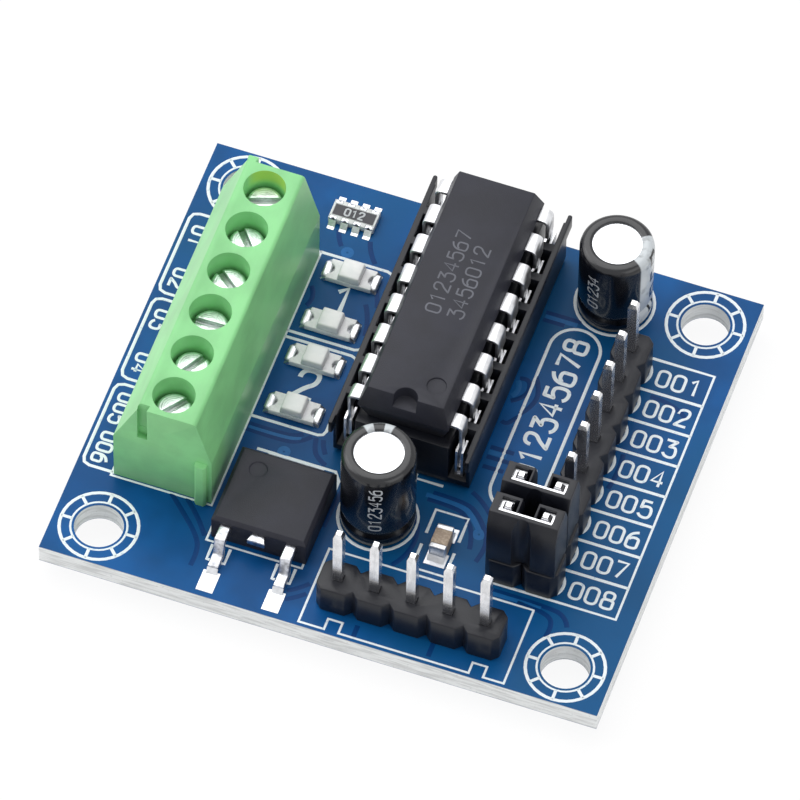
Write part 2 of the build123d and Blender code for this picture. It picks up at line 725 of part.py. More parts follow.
def regulator_tab():
    """The metal tab under the body, with clipped far corners and the middle stub."""
    far = REGULATOR_LENGTH / 2 + TAB_REACH
    near = far - TAB_LENGTH
    half = TAB_WIDTH / 2
    plate = extrude(
        Polygon(
            (-half, near),
            (half, near),
            (half, far - TAB_CORNER),
            (half - TAB_CORNER, far),
            (TAB_CORNER - half, far),
            (-half, far - TAB_CORNER),
            align=None,
        ),
        amount=TAB_THICKNESS,
    )
    front = -REGULATOR_LENGTH / 2
    stub_half = STUB_WIDTH / 2
    tip_half = STUB_TIP_WIDTH / 2
    stub = extrude(
        Pos(0, 0, REGULATOR_LEAD_RISE)
        * Polygon(
            (-stub_half, near + TAB_THICKNESS),
            (-stub_half, front),
            (-tip_half, front - STUB_LENGTH),
            (tip_half, front - STUB_LENGTH),
            (stub_half, front),
            (stub_half, near + TAB_THICKNESS),
            align=None,
        ),
        amount=REGULATOR_LEAD_THICKNESS,
    )
    web = block((-stub_half, near, 0), (stub_half, near + TAB_THICKNESS, REGULATOR_LEAD_RISE))
    return plate + [stub, web]


def regulator_lead(side):
    """A gull-wing lead: out of the body, down, and along the board."""
    front = -REGULATOR_LENGTH / 2
    tip = front - REGULATOR_LEAD_REACH
    thick = REGULATOR_LEAD_THICKNESS
    knee = tip + REGULATOR_FOOT_LENGTH
    elbow = front - REGULATOR_LEAD_SHOULDER
    rise = REGULATOR_LEAD_RISE
    lead = side_prism(
        [
            (tip, 0),
            (knee + thick / 2, 0),
            (elbow + thick / 2, rise),
            (front + thick, rise),
            (front + thick, rise + thick),
            (elbow, rise + thick),
            (knee, thick),
            (tip, thick),
        ],
        REGULATOR_LEAD_WIDTH,
    )
    return Pos(side * REGULATOR_LEAD_SPACING / 2, 0, 0) * lead


def regulator_pieces():
    """Body, tab and leads on the board, each fitting the next face to face."""
    tab = regulator_tab()
    leads = [regulator_lead(side) for side in (-1, 1)]
    body = block(
        (-REGULATOR_WIDTH / 2, -REGULATOR_LENGTH / 2, 0),
        (REGULATOR_WIDTH / 2, REGULATOR_LENGTH / 2, REGULATOR_HEIGHT),
    )
    rim = body.edges().group_by(Axis.Z)[-1]
    body = chamfer(rim, REGULATOR_CHAMFER)
    mark = Cylinder(REGULATOR_EJECTOR_D / 2, 2 * REGULATOR_EJECTOR_DEPTH)
    body -= Pos(-REGULATOR_WIDTH / 4, REGULATOR_LENGTH / 4, REGULATOR_HEIGHT) * mark
    body = body - ([tab] + leads)
    place = Pos(REGULATOR_X, REGULATOR_Y, TOP)
    return place * body, place * tab, [place * lead for lead in leads]


# Pin headers and jumper caps


def header_pin(x, y):
    """A square pin with tapered points at both ends."""
    shaft = block(
        (-PIN_SIZE / 2, -PIN_SIZE / 2, PIN_POINT - TAIL_LENGTH),
        (PIN_SIZE / 2, PIN_SIZE / 2, PIN_TIP - PIN_POINT),
    )
    point = extrude(Rectangle(PIN_SIZE, PIN_SIZE), amount=PIN_POINT, taper=PIN_POINT_TAPER)
    upper = Pos(0, 0, PIN_TIP - PIN_POINT) * point
    lower = Pos(0, 0, PIN_POINT - TAIL_LENGTH) * Rot(180, 0, 0) * point
    return Pos(x, y, 0) * (shaft + [upper, lower])


def header_base(pins):
    """Break-away insulator: one eight-sided segment for each pin, all in one bar."""
    half = HEADER_WIDTH / 2
    long_half = PITCH / 2
    cut = HEADER_CHAMFER
    along_x = abs(pins[0][1] - pins[-1][1]) < PITCH / 2
    segment = Polygon(
        (half, cut - long_half),
        (half, long_half - cut),
        (half - cut, long_half),
        (cut - half, long_half),
        (-half, long_half - cut),
        (-half, cut - long_half),
        (cut - half, -long_half),
        (half - cut, -long_half),
        align=None,
    )
    turn = Rot(0, 0, 90 if along_x else 0)
    outline = Sketch() + [Pos(x, y) * turn * segment for x, y in pins]
    bar = extrude(Pos(0, 0, TOP) * outline, amount=HEADER_HEIGHT)
    holes = [tail_solid(Tail(x, y, PIN_SIZE, PIN_SIZE), TOP - 1, HEADER_TOP + 1) for x, y in pins]
    return bar - holes


def jumper_contact_outline(grow):
    """Plan of the folded strip: a bar past both pins, hooked round each outer side."""
    inner = PIN_SIZE / 2 + JUMPER_CONTACT_ROOM - grow
    outer = inner + JUMPER_CONTACT_THICKNESS + 2 * grow
    reach = PITCH / 2 + JUMPER_HOLE / 2
    hook = reach - JUMPER_CONTACT_THICKNESS - JUMPER_CONTACT_HOOK - PIN_SIZE / 2
    return Polygon(
        (-reach, -outer),
        (reach, -outer),
        (reach, outer),
        (hook, outer),
        (hook, inner),
        (reach - JUMPER_CONTACT_THICKNESS, inner),
        (reach - JUMPER_CONTACT_THICKNESS, -inner),
        (JUMPER_CONTACT_THICKNESS - reach, -inner),
        (JUMPER_CONTACT_THICKNESS - reach, inner),
        (-hook, inner),
        (-hook, outer),
        (-reach, outer),
        align=None,
    )


def jumper_contact():
    """The spring strip that joins the two pins, standing in its pocket."""
    bottom = jumper_top() - JUMPER_CONTACT_SINK - JUMPER_CONTACT_HEIGHT
    return extrude(Pos(0, 0, bottom) * jumper_contact_outline(0), amount=JUMPER_CONTACT_HEIGHT)


def jumper_bottom():
    """Underside of a seated cap."""
    return HEADER_TOP + JUMPER_SEAT_ROOM


def jumper_top():
    """Top of a seated cap."""
    return jumper_bottom() + JUMPER_HEIGHT


def jumper_housing():
    """A block with sloped top edges, a well round each pin and a notch that bares the strip."""
    half = JUMPER_LENGTH / 2
    side = JUMPER_WIDTH / 2
    bottom = jumper_bottom()
    top = jumper_top()
    housing = side_prism(
        [
            (-side, bottom),
            (side, bottom),
            (side, top - JUMPER_SLOPE_DROP),
            (side - JUMPER_SLOPE_SIDE, top),
            (JUMPER_SLOPE_SIDE - side, top),
            (-side, top - JUMPER_SLOPE_DROP),
        ],
        2 * half,
    )
    groove_y = side + JUMPER_GROOVE_D / 2 - JUMPER_GROOVE_DEPTH
    groove = disc(0, -groove_y, bottom - 1, top + 1, JUMPER_GROOVE_D)
    wells = [
        block(
            (x - JUMPER_HOLE / 2, -JUMPER_HOLE / 2, bottom - 1),
            (x + JUMPER_HOLE / 2, JUMPER_HOLE / 2, top + 1),
        )
        for x in spread(2, PITCH)
    ]
    pocket_bottom = top - JUMPER_CONTACT_SINK - JUMPER_CONTACT_HEIGHT
    inner = PIN_SIZE / 2 + JUMPER_CONTACT_ROOM
    slot = block(
        (-PITCH / 2, -inner - JUMPER_CONTACT_THICKNESS, pocket_bottom),
        (PITCH / 2, -inner, top + 1),
    )
    notch = block(
        (-JUMPER_NOTCH_WIDTH / 2, -inner, pocket_bottom),
        (JUMPER_NOTCH_WIDTH / 2, side + 1, top + 1),
    )
    return housing - (wells + [groove, slot, notch])


# Ceramic capacitor, resistor array and indicator lights


def ceramic_capacitor():
    """The body and its two plated ends."""
    half = CERAMIC_LENGTH / 2
    middle = half - CERAMIC_END
    side = CERAMIC_WIDTH / 2
    body = block((-side, -middle, 0), (side, middle, CERAMIC_HEIGHT))
    ends = []
    for end in (-1, 1):
        low, high = sorted((end * middle, end * half))
        cap = block((-side, low, 0), (side, high, CERAMIC_HEIGHT))
        rim = cap.edges().filter_by(lambda edge: abs(edge.center().Y - end * half) < 1e-6)
        ends.append(chamfer(rim, CERAMIC_END / 5))
    place = Pos(CERAMIC_X, CERAMIC_Y, TOP)
    return place * body, [place * cap for cap in ends]


def resistor_array():
    """The body and four castellated ends along each side."""
    half = ARRAY_WIDTH / 2
    body = block((-ARRAY_LENGTH / 2, -half, 0), (ARRAY_LENGTH / 2, half, ARRAY_HEIGHT))
    ends = []
    for side in (-1, 1):
        low, high = sorted((side * (half - ARRAY_END_DEPTH), side * half))
        for x in spread(ARRAY_END_COUNT, ARRAY_END_PITCH):
            left = x - ARRAY_END_WIDTH / 2
            ends.append(block((left, low, 0), (left + ARRAY_END_WIDTH, high, ARRAY_HEIGHT)))
    notches = [
        Pos(end.center().X, side * half, ARRAY_HEIGHT / 2)
        * Rot(0, 0, 45)
        * Box(ARRAY_NOTCH, ARRAY_NOTCH, 2 * ARRAY_HEIGHT)
        for end in ends[:ARRAY_END_COUNT]
        for side in (-1, 1)
    ]
    place = Pos(ARRAY_X, ARRAY_Y, TOP)
    return place * (body - ends), [place * (end - notches) for end in ends]


def light_base(y):
    """The light's base, with a half-round notch at each end."""
    half = LIGHT_LENGTH / 2
    side = LIGHT_WIDTH / 2
    base = block((-half, -side, 0), (half, side, LIGHT_BASE_HEIGHT))
    notches = [disc(end * half, 0, -1, LIGHT_BASE_HEIGHT + 1, LIGHT_NOTCH_D) for end in (-1, 1)]
    return Pos(LIGHT_X, y, TOP) * (base - notches)


def light_lens(y):
    """The drafted lens block on the middle of the base."""
    lens = extrude(Rectangle(LENS_LENGTH, LIGHT_WIDTH), amount=LENS_HEIGHT, taper=LENS_DRAFT)
    return Pos(LIGHT_X, y, TOP + LIGHT_BASE_HEIGHT) * lens


# Solder on the upper face


def wedge(x, y, width, turn, height):
    """A fillet that falls away from a vertical face at (x, y), towards the turned +X."""
    profile = [(0, 0), (FILLET_REACH, 0), (0, height)]
    return Pos(x, y, TOP) * Rot(0, 0, turn) * wall_prism(profile, width)


def surface_solder():
    """Fillets at every surface-mounted end and foot."""
    fillets = []
    foot_y = REGULATOR_Y - REGULATOR_LENGTH / 2 - REGULATOR_LEAD_REACH
    for side in (-1, 1):
        x = REGULATOR_X + side * REGULATOR_LEAD_SPACING / 2
        fillets.append(wedge(x, foot_y, REGULATOR_LEAD_WIDTH, -90, FILLET_HEIGHT))
    tab_y = REGULATOR_Y + REGULATOR_LENGTH / 2 + TAB_REACH
    fillets.append(wedge(REGULATOR_X, tab_y, TAB_WIDTH - 2 * TAB_CORNER, 90, FILLET_HEIGHT))
    for y in LIGHT_YS:
        for side in (-1, 1):
            x = LIGHT_X + side * LIGHT_LENGTH / 2
            turn = 0 if side > 0 else 180
            fillets.append(wedge(x, y, LIGHT_WIDTH, turn, FILLET_HEIGHT))
    for side in (-1, 1):
        y = ARRAY_Y + side * ARRAY_WIDTH / 2
        for x in spread(ARRAY_END_COUNT, ARRAY_END_PITCH, ARRAY_X):
            fillets.append(wedge(x, y, ARRAY_END_WIDTH, 90 * side, FILLET_HEIGHT))
        y = CERAMIC_Y + side * CERAMIC_LENGTH / 2
        fillets.append(wedge(CERAMIC_X, y, CERAMIC_WIDTH, 90 * side, FILLET_HEIGHT))
    return fillets


# Assembly


def capacitor_nodes(name, place, height, turn, tails):
    """The four pieces of one capacitor, on the board at its place."""
    spot = Pos(*place, TOP)
    return {
        f"{name}_can": [spot * capacitor_can(height)],
        f"{name}_sleeve": [spot * capacitor_sleeve(height)],
        f"{name}_bung": [spot * capacitor_bung(turn)],
        f"{name}_leads": capacitor_leads(tails),
    }


def build_nodes():
    """Every node's solids, by name."""
    regulator_body, regulator_metal, regulator_leads = regulator_pieces()
    ceramic_body, ceramic_ends = ceramic_capacitor()
    array_body, array_ends = resistor_array()
    nodes = {
        "circuit_board": [circuit_board()],
        "solder_joints": [solder_joint(tail) for tail in ALL_TAILS],
        "surface_solder": surface_solder(),
        "terminal_housing": [terminal_housing()],
        "terminal_contacts": [terminal_contact(tail) for tail in TERMINAL_TAILS],
        "driver_chip_body": [chip_body()],
        "driver_chip_leads": chip_leads(),
        "socket_frame": [socket_frame()],
        "socket_contacts": [socket_contact(tail) for tail in SOCKET_TAILS],
        "regulator_body": [regulator_body],
        "regulator_tab": [regulator_metal],
        "regulator_leads": regulator_leads,
        "ceramic_capacitor_body": [ceramic_body],
        "ceramic_capacitor_ends": ceramic_ends,
        "resistor_array_body": [array_body],
        "resistor_array_ends": array_ends,
    }
    headers = {"signal": SIGNAL_PINS, "jumper": JUMPER_PINS, "power": POWER_PINS}
    for name, pins in headers.items():
        nodes[f"{name}_header_base"] = [header_base(pins)]
        nodes[f"{name}_header_pins"] = [header_pin(x, y) for x, y in pins]
    for number, y in enumerate(POLE_YS, start=1):
        turn = SCREW_SLOT_TURNS[(number - 1) % len(SCREW_SLOT_TURNS)]
        nodes[f"terminal_screw_{number}"] = [terminal_screw(y, turn)]
        nodes[f"terminal_clamp_{number}"] = [terminal_clamp(y)]
    nodes |= capacitor_nodes(
        "capacitor_1", CAPACITOR_1, CAPACITOR_1_HEIGHT, CAPACITOR_1_TURN, CAPACITOR_1_TAILS
    )
    nodes |= capacitor_nodes(
        "capacitor_2", CAPACITOR_2, CAPACITOR_2_HEIGHT, CAPACITOR_2_TURN, CAPACITOR_2_TAILS
    )
    for number, (x, y) in enumerate(JUMPER_PINS, start=1):
        place = Pos(x + PITCH / 2, y, 0)
        nodes[f"jumper_cap_{number}_housing"] = [place * jumper_housing()]
        nodes[f"jumper_cap_{number}_contact"] = [place * jumper_contact()]
    for number, y in enumerate(LIGHT_YS, start=1):
        nodes[f"led_{number}_base"] = [light_base(y)]
        nodes[f"led_{number}_lens"] = [light_lens(y)]
    return nodes


def main():
    """Writes each node to its own file."""
    os.makedirs("parts", exist_ok=True)
    for name, solids in build_nodes().items():
        shape = solids[0] if len(solids) == 1 else Compound(children=solids)
        export_step(shape, f"parts/{name}.step")


main()
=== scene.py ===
"""Looks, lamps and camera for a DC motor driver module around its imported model.

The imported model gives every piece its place. This script softens the moulded edges, prints
the legend on the board, spins the capacitors and the solder, and dresses every piece with a
procedural finish. Lengths are in millimetres here; a piece turns to metres as it is made.
"""

import logging
import math
from dataclasses import dataclass
from enum import Enum
from typing import Any, Iterable, Optional, Sequence, Union

import bmesh
import bpy
from mathutils import Matrix, Vector


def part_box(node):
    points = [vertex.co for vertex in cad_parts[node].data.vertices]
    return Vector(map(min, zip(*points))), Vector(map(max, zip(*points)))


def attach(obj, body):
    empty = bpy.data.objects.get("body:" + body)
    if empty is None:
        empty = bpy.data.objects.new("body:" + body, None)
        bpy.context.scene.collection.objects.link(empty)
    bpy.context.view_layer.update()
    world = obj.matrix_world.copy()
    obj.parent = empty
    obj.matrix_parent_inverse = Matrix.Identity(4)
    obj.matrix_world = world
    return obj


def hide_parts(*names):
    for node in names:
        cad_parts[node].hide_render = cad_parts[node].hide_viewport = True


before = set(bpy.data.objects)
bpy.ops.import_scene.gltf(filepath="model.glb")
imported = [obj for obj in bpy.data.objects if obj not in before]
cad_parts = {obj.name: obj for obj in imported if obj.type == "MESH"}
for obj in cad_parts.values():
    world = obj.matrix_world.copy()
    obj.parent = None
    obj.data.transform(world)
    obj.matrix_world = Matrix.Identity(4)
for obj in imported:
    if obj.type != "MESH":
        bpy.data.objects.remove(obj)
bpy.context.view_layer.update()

LOG = logging.getLogger("motor_driver_module")
MM = 0.001
BOARD_TOP = 1.6
FLOOR_LEVEL = -1.302
SCREW_X = -13.1
FIRST_POLE_Y = 9.15
POLE_PITCH = 3.5
WELL_RADIUS = 1.425

Point = tuple[float, float]
Colour = tuple[float, float, float]
Number = Union[float, "Sock"]


class Line(Enum):
    """How a stroke runs through its points."""

    STRAIGHT = "POLY"
    ROUND = "NURBS"


# Shader building


class Sock:
    """One output socket that takes part in arithmetic."""

    def __init__(self, shader: "Shader", socket: bpy.types.NodeSocket) -> None:
        """Keeps the socket and the shader whose nodes hold it."""
        self.shader = shader
        self.socket = socket

    def math(self, operation: str, *others: Number, clamp: bool = False) -> "Sock":
        """Adds one Math node.

        Args:
            operation: The node's operation.
            others: The values that follow this one.
            clamp: Whether the result stays within 0 and 1.

        Returns:
            The node's result.
        """
        values = {index: value for index, value in enumerate((self, *others))}
        settings = {"operation": operation, "use_clamp": clamp}
        return self.shader.sock("ShaderNodeMath", settings, values)

    def __add__(self, other: Number) -> "Sock":
        """This plus another."""
        return self.math("ADD", other)

    def __radd__(self, other: Number) -> "Sock":
        """Another plus this."""
        return self.math("ADD", other)

    def __sub__(self, other: Number) -> "Sock":
        """This less another."""
        return self.math("SUBTRACT", other)

    def __rsub__(self, other: Number) -> "Sock":
        """Another less this."""
        return self.math("MULTIPLY", -1.0) + other

    def __mul__(self, other: Number) -> "Sock":
        """This times another."""
        return self.math("MULTIPLY", other)

    def __abs__(self) -> "Sock":
        """The size of this."""
        return self.math("ABSOLUTE")

    def root(self) -> "Sock":
        """The square root of this."""
        return self.math("SQRT")

    def over(self, limit: Number) -> "Sock":
        """1 where this is over a limit, else 0."""
        return self.math("GREATER_THAN", limit)

    def most(self, other: Number) -> "Sock":
        """The higher of this and another."""
        return self.math("MAXIMUM", other)

    def ramp(self, low: float, high: float) -> "Sock":
        """A smooth rise from 0 at low to 1 at high, or a fall where low is the higher.

        Args:
            low: Where the result is 0.
            high: Where the result is 1.

        Returns:
            The smoothed share.
        """
        values = {"Value": self, "From Min": low, "From Max": high}
        settings = {"interpolation_type": "SMOOTHSTEP"}
        return self.shader.sock("ShaderNodeMapRange", settings, values)


class Shader:
    """One material and the nodes that make its finish."""

    def __init__(self, name: str) -> None:
        """Starts a material with a Principled shader and its output.

        Args:
            name: The material's name.
        """
        self.material = bpy.data.materials.new(name)
        self.material.use_nodes = True
        self.tree = self.material.node_tree
        self.tree.nodes.clear()
        self.output = self.node("ShaderNodeOutputMaterial")
        self.principled = self.node("ShaderNodeBsdfPrincipled")
        self.tree.links.new(self.principled.outputs[0], self.output.inputs["Surface"])
        coordinates = self.node("ShaderNodeTexCoord")
        scaled = self.node(
            "ShaderNodeVectorMath",
            {"operation": "SCALE"},
            {0: coordinates.outputs["Object"], "Scale": 1 / MM},
        )
        self.place = scaled.outputs[0]

    def node(
        self, kind: str, settings: Optional[dict[str, Any]] = None,
        values: Optional[dict[Union[int, str], Any]] = None,
    ) -> bpy.types.Node:
        """Adds a node.

        Args:
            kind: The node's type.
            settings: Its settings, set first. "stops" gives a ramp's (place, colour) pairs.
            values: Values or links of its inputs, by name or number.

        Returns:
            The new node.
        """
        node = self.tree.nodes.new(kind)
        for name, value in (settings or {}).items():
            if name == "stops":
                ramp = node.color_ramp.elements
                while len(ramp) < len(value):
                    ramp.new(0.5)
                for element, (place, colour) in zip(ramp, value):
                    element.position = place
                    element.color = (*colour, 1.0)
            else:
                setattr(node, name, value)
        for name, value in (values or {}).items():
            self.feed(node.inputs[name], value)
        return node

    def feed(self, target: bpy.types.NodeSocket, value: Any) -> None:
        """Gives an input its value or its link.

        Args:
            target: The input.
            value: A number, a vector, a colour, a socket or a Sock.
        """
        if isinstance(value, Sock):
            value = value.socket
        if isinstance(value, bpy.types.NodeSocket):
            self.tree.links.new(value, target)
        elif target.type == "RGBA" and len(value) == 3:
            target.default_value = (*value, 1.0)
        else:
            target.default_value = value

    def sock(
        self, kind: str, settings: Optional[dict[str, Any]] = None,
        values: Optional[dict[Union[int, str], Any]] = None,
    ) -> Sock:
        """Adds a node, as node() does, and wraps its first output."""
        return Sock(self, self.node(kind, settings, values).outputs[0])

    def parts(self, vector: bpy.types.NodeSocket) -> tuple[Sock, Sock, Sock]:
        """The x, y and z of a vector."""
        split = self.node("ShaderNodeSeparateXYZ", values={0: vector})
        return tuple(Sock(self, output) for output in split.outputs)

    def spot(self) -> tuple[Sock, Sock, Sock]:
        """The surface point in millimetres, as x, y and z."""
        return self.parts(self.place)

    def facing(self) -> tuple[Sock, Sock, Sock]:
        """The surface's own direction, as x, y and z."""
        return self.parts(self.node("ShaderNodeNewGeometry").outputs["Normal"])

    def noise(
        self, grain: float, detail: float = 2.0, stretch: tuple[float, float, float] = (1, 1, 1)
    ) -> Sock:
        """Noise in millimetres.

        Args:
            grain: Size of its lumps.
            detail: How many finer layers it has.
            stretch: How much longer the lumps are along each axis.

        Returns:
            The noise, about 0.5 on average.
        """
        place = self.node(
            "ShaderNodeVectorMath", {"operation": "DIVIDE"}, {0: self.place, 1: stretch}
        )
        values = {"Vector": place.outputs[0], "Scale": 1 / grain, "Detail": detail, "Roughness": 0.5}
        return self.sock("ShaderNodeTexNoise", {}, values)

    def cells(self, grain: float) -> Sock:
        """Distance to the nearest of scattered points, in their own grain."""
        values = {"Vector": self.place, "Scale": 1 / grain}
        return self.sock("ShaderNodeTexVoronoi", {"feature": "F1"}, values)

    def mix(self, first: Any, second: Any, share: Number) -> bpy.types.NodeSocket:
        """Blends two colours.

        Args:
            first: The colour at share 0.
            second: The colour at share 1.
            share: How much of the second.

        Returns:
            The blended colour.
        """
        mixer = self.node("ShaderNodeMix", {"data_type": "RGBA"})
        self.feed(mixer.inputs[0], share)
        self.feed(mixer.inputs[6], first)
        self.feed(mixer.inputs[7], second)
        return mixer.outputs[2]

    def bump(
        self, height: Sock, depth: float, under: Optional[bpy.types.NodeSocket] = None
    ) -> bpy.types.NodeSocket:
        """Relief from a height.

        Args:
            height: The height, about 0 to 1.
            depth: What a height of 1 measures.
            under: A relief that this one lies on.

        Returns:
            The bent normal.
        """
        values = {"Height": height, "Distance": depth * MM, "Strength": 1.0}
        if under is not None:
            values["Normal"] = under
        return self.node("ShaderNodeBump", values=values).outputs[0]

    def finish(self, **surface: Any) -> bpy.types.Material:
        """Sets the Principled shader's inputs.

        Args:
            surface: Values or links, named as the inputs with _ for each space.

        Returns:
            The finished material.
        """
        for name, value in surface.items():
            self.feed(self.principled.inputs[name.replace("_", " ").title().replace("Ior", "IOR")], value)
        return self.material


def shade(red: float, green: float, blue: float) -> Colour:
    """A colour seen on a screen, 0 to 255, as the shaders count it."""
    share = [value / 255 for value in (red, green, blue)]
    return tuple(v / 12.92 if v <= 0.04045 else ((v + 0.055) / 1.055) ** 2.4 for v in share)


def tone(colour: Colour, factor: float) -> Colour:
    """A colour made darker or lighter."""
    return tuple(min(1.0, value * factor) for value in colour)


# Finishes


@dataclass(frozen=True)
class MouldedPlastic:
    """A moulded plastic with a fine grain and slightly worn, lighter patches."""

    name: str
    colour: Colour
    roughness: float = 0.4
    grain: float = 0.12
    depth: float = 0.01
    patch: float = 3.0
    variation: float = 0.12
    shine: float = 0.35

    def material(self) -> bpy.types.Material:
        """Builds the material.

        Returns:
            The material.
        """
        shader = Shader(self.name)
        fine = shader.noise(self.grain, 3.0)
        broad = shader.noise(self.patch, 3.0)
        share = (fine * 0.35 + broad * 0.65).ramp(0.3, 0.7)
        colour = shader.mix(
            tone(self.colour, 1 - self.variation), tone(self.colour, 1 + self.variation), share
        )
        roughness = (self.roughness - 0.06) + broad * 0.12
        relief = shader.bump(fine * 0.8 + broad * 0.2, self.depth)
        return shader.finish(
            Base_Color=colour, Roughness=roughness, Normal=relief, Specular_Ior_Level=self.shine
        )


@dataclass(frozen=True)
class TerminalMoulding:
    """Satin green moulding with faint flow marks, and a painted glow of light on the end well's thin far
    wall.
    """

    name: str
    well: Point
    well_radius: float
    colour: Colour = shade(138, 210, 142)
    painted_glow: Colour = shade(184, 222, 84)

    def material(self) -> bpy.types.Material:
        """Builds the material.

        Returns:
            The material.
        """
        shader = Shader(self.name)
        x, y, z = shader.spot()
        _, north, _ = shader.facing()
        fine = shader.noise(0.5, 3.0)
        flow = shader.noise(2.6, 4.0, (1.0, 1.6, 1.0))
        colour = shader.mix(tone(self.colour, 0.9), tone(self.colour, 1.06), flow.ramp(0.34, 0.66))
        # Painted light: near its top, the end well's far wall faces the near end, and there it is tinted
        # yellow-green as if light shone through the thin wall.
        across, along = x - self.well[0], y - self.well[1]
        near = (across * across + along * along).root().ramp(self.well_radius + 0.25, self.well_radius + 0.1)
        thin = near * north.ramp(-0.2, -0.8) * z.ramp(8.6, 9.4)
        colour = shader.mix(colour, self.painted_glow, thin * 0.8)
        return shader.finish(
            Base_Color=colour,
            Roughness=0.32 + flow * 0.12,
            Normal=shader.bump(fine * 0.4 + flow * 0.6, 0.008),
            Coat_Weight=0.14,
            Coat_Roughness=0.25,
            Specular_Ior_Level=0.28,
            Subsurface_Weight=0.1,
            Subsurface_Radius=(0.6 * MM, 1.0 * MM, 0.5 * MM),
        )


@dataclass(frozen=True)
class MouldingCompound:
    """The fine matt compound of a chip, with tiny pale specks of filler."""

    name: str
    colour: Colour
    roughness: float = 0.5
    shine: float = 0.3

    def material(self) -> bpy.types.Material:
        """Builds the material.

        Returns:
            The material.
        """
        shader = Shader(self.name)
        grit = shader.noise(0.07, 2.0)
        cloud = shader.noise(2.4, 3.0)
        speck = shader.cells(0.28).ramp(0.16, 0.05) * grit.ramp(0.45, 0.62)
        base = shader.mix(tone(self.colour, 0.82), tone(self.colour, 1.2), cloud.ramp(0.3, 0.7))
        colour = shader.mix(base, tone(self.colour, 2.6), speck * 0.35)
        relief = shader.bump(grit, 0.012)
        return shader.finish(
            Base_Color=colour, Roughness=self.roughness - 0.05 + cloud * 0.1, Normal=relief,
            Specular_Ior_Level=self.shine,
        )


@dataclass(frozen=True)
class Plating:
    """Bright metal with drawn or dipped unevenness."""

    name: str
    colour: Colour
    roughness: float = 0.28
    grain: float = 0.3
    stretch: tuple[float, float, float] = (1.0, 1.0, 1.0)
    depth: float = 0.006
    tarnish: float = 0.18

    def material(self) -> bpy.types.Material:
        """Builds the material.

        Returns:
            The material.
        """
        shader = Shader(self.name)
        streak = shader.noise(self.grain, 4.0, self.stretch)
        cloud = shader.noise(self.grain * 4, 2.0)
        colour = shader.mix(
            self.colour, tone(self.colour, 1 - self.tarnish), (streak * 0.5 + cloud * 0.5).ramp(0.38, 0.68)
        )
        return shader.finish(
            Base_Color=colour,
            Metallic=1.0,
            Roughness=self.roughness - 0.08 + streak * 0.16,
            Normal=shader.bump(streak, self.depth),
        )


@dataclass(frozen=True)
class ScrewSteel:
    """Zinc-plated steel with turning marks round each screw's own axis, and painted shade down in the slot.
    """

    name: str
    axis_x: float
    first_y: float
    pitch: float
    head_top: float = 8.78
    slot_depth: float = 0.45
    colour: Colour = shade(240, 248, 246)

    def material(self) -> bpy.types.Material:
        """Builds the material.

        Returns:
            The material.
        """
        shader = Shader(self.name)
        x, y, z = shader.spot()
        across = x - self.axis_x
        wrapped = (y - self.first_y + self.pitch / 2).math("WRAP", self.pitch, 0.0)
        along = wrapped - self.pitch / 2
        radius = (across * across + along * along).root()
        rings = (radius * 42.0).math("SINE")
        smear = shader.noise(0.5, 4.0)
        scratch = shader.noise(0.13, 3.0, (6.0, 1.0, 1.0)).ramp(0.58, 0.68)
        nick = shader.noise(0.16, 3.0, (1.0, 5.0, 1.0)).ramp(0.62, 0.7)
        colour = shader.mix(self.colour, tone(self.colour, 0.72), smear.ramp(0.45, 0.75))
        colour = shader.mix(colour, tone(self.colour, 0.38), scratch.most(nick) * 0.5)
        # Painted shade: the colour darkens with depth below the head's top, where the slot's walls shade its
        # floor.
        slot = z.ramp(self.head_top - 0.1, self.head_top - self.slot_depth - 0.1)
        colour = shader.mix(colour, tone(self.colour, 0.35), slot * 0.65)
        relief = shader.bump(rings * 0.4 + smear * 0.8 - scratch * 0.5, 0.008)
        return shader.finish(
            Base_Color=colour, Metallic=1.0, Roughness=0.28 + smear * 0.2, Normal=relief
        )


@dataclass(frozen=True)
class SolderMask:
    """Blue lacquer on both faces of a pale fibreglass board, whose cut edges stay bare."""

    name: str
    blue: Colour = shade(9, 80, 141)
    teal: Colour = shade(6, 78, 122)
    glass: Colour = shade(232, 234, 234)
    skin: float = 0.06

    def material(self) -> bpy.types.Material:
        """Builds the material.

        Returns:
            The material.
        """
        shader = Shader(self.name)
        _, _, z = shader.spot()
        _, _, up = shader.facing()
        flat = abs(up).over(0.5)
        cloud = shader.noise(6.0, 3.0)
        weave = shader.noise(0.5, 2.0)
        lacquer = shader.mix(tone(self.blue, 0.8), tone(self.blue, 1.22), cloud.ramp(0.34, 0.66))
        lacquer = shader.mix(lacquer, self.teal, shader.noise(13.0, 2.0).ramp(0.42, 0.64) * 0.7)
        layer = shader.noise(0.35, 3.0, (6.0, 6.0, 0.6))
        fleck = shader.noise(0.2, 2.0)
        edge = shader.mix(tone(self.glass, 0.86), tone(self.glass, 1.12), layer.ramp(0.34, 0.6))
        edge = shader.mix(edge, tone(self.glass, 0.5), fleck.ramp(0.62, 0.72) * 0.35)
        rim = abs(z - BOARD_TOP / 2).ramp(BOARD_TOP / 2 - self.skin, BOARD_TOP / 2 - self.skin / 2)
        edge = shader.mix(edge, self.blue, rim * 0.6)
        rough = shader.bump(layer * (1.0 - flat), 0.015)
        return shader.finish(
            Base_Color=shader.mix(edge, lacquer, flat),
            Roughness=0.75 - flat * 0.4 + cloud * 0.06,
            Coat_Weight=flat * 0.03,
            Coat_Roughness=0.12,
            Specular_Ior_Level=0.12,
            Normal=shader.bump(weave * flat, 0.004, under=rough),
        )


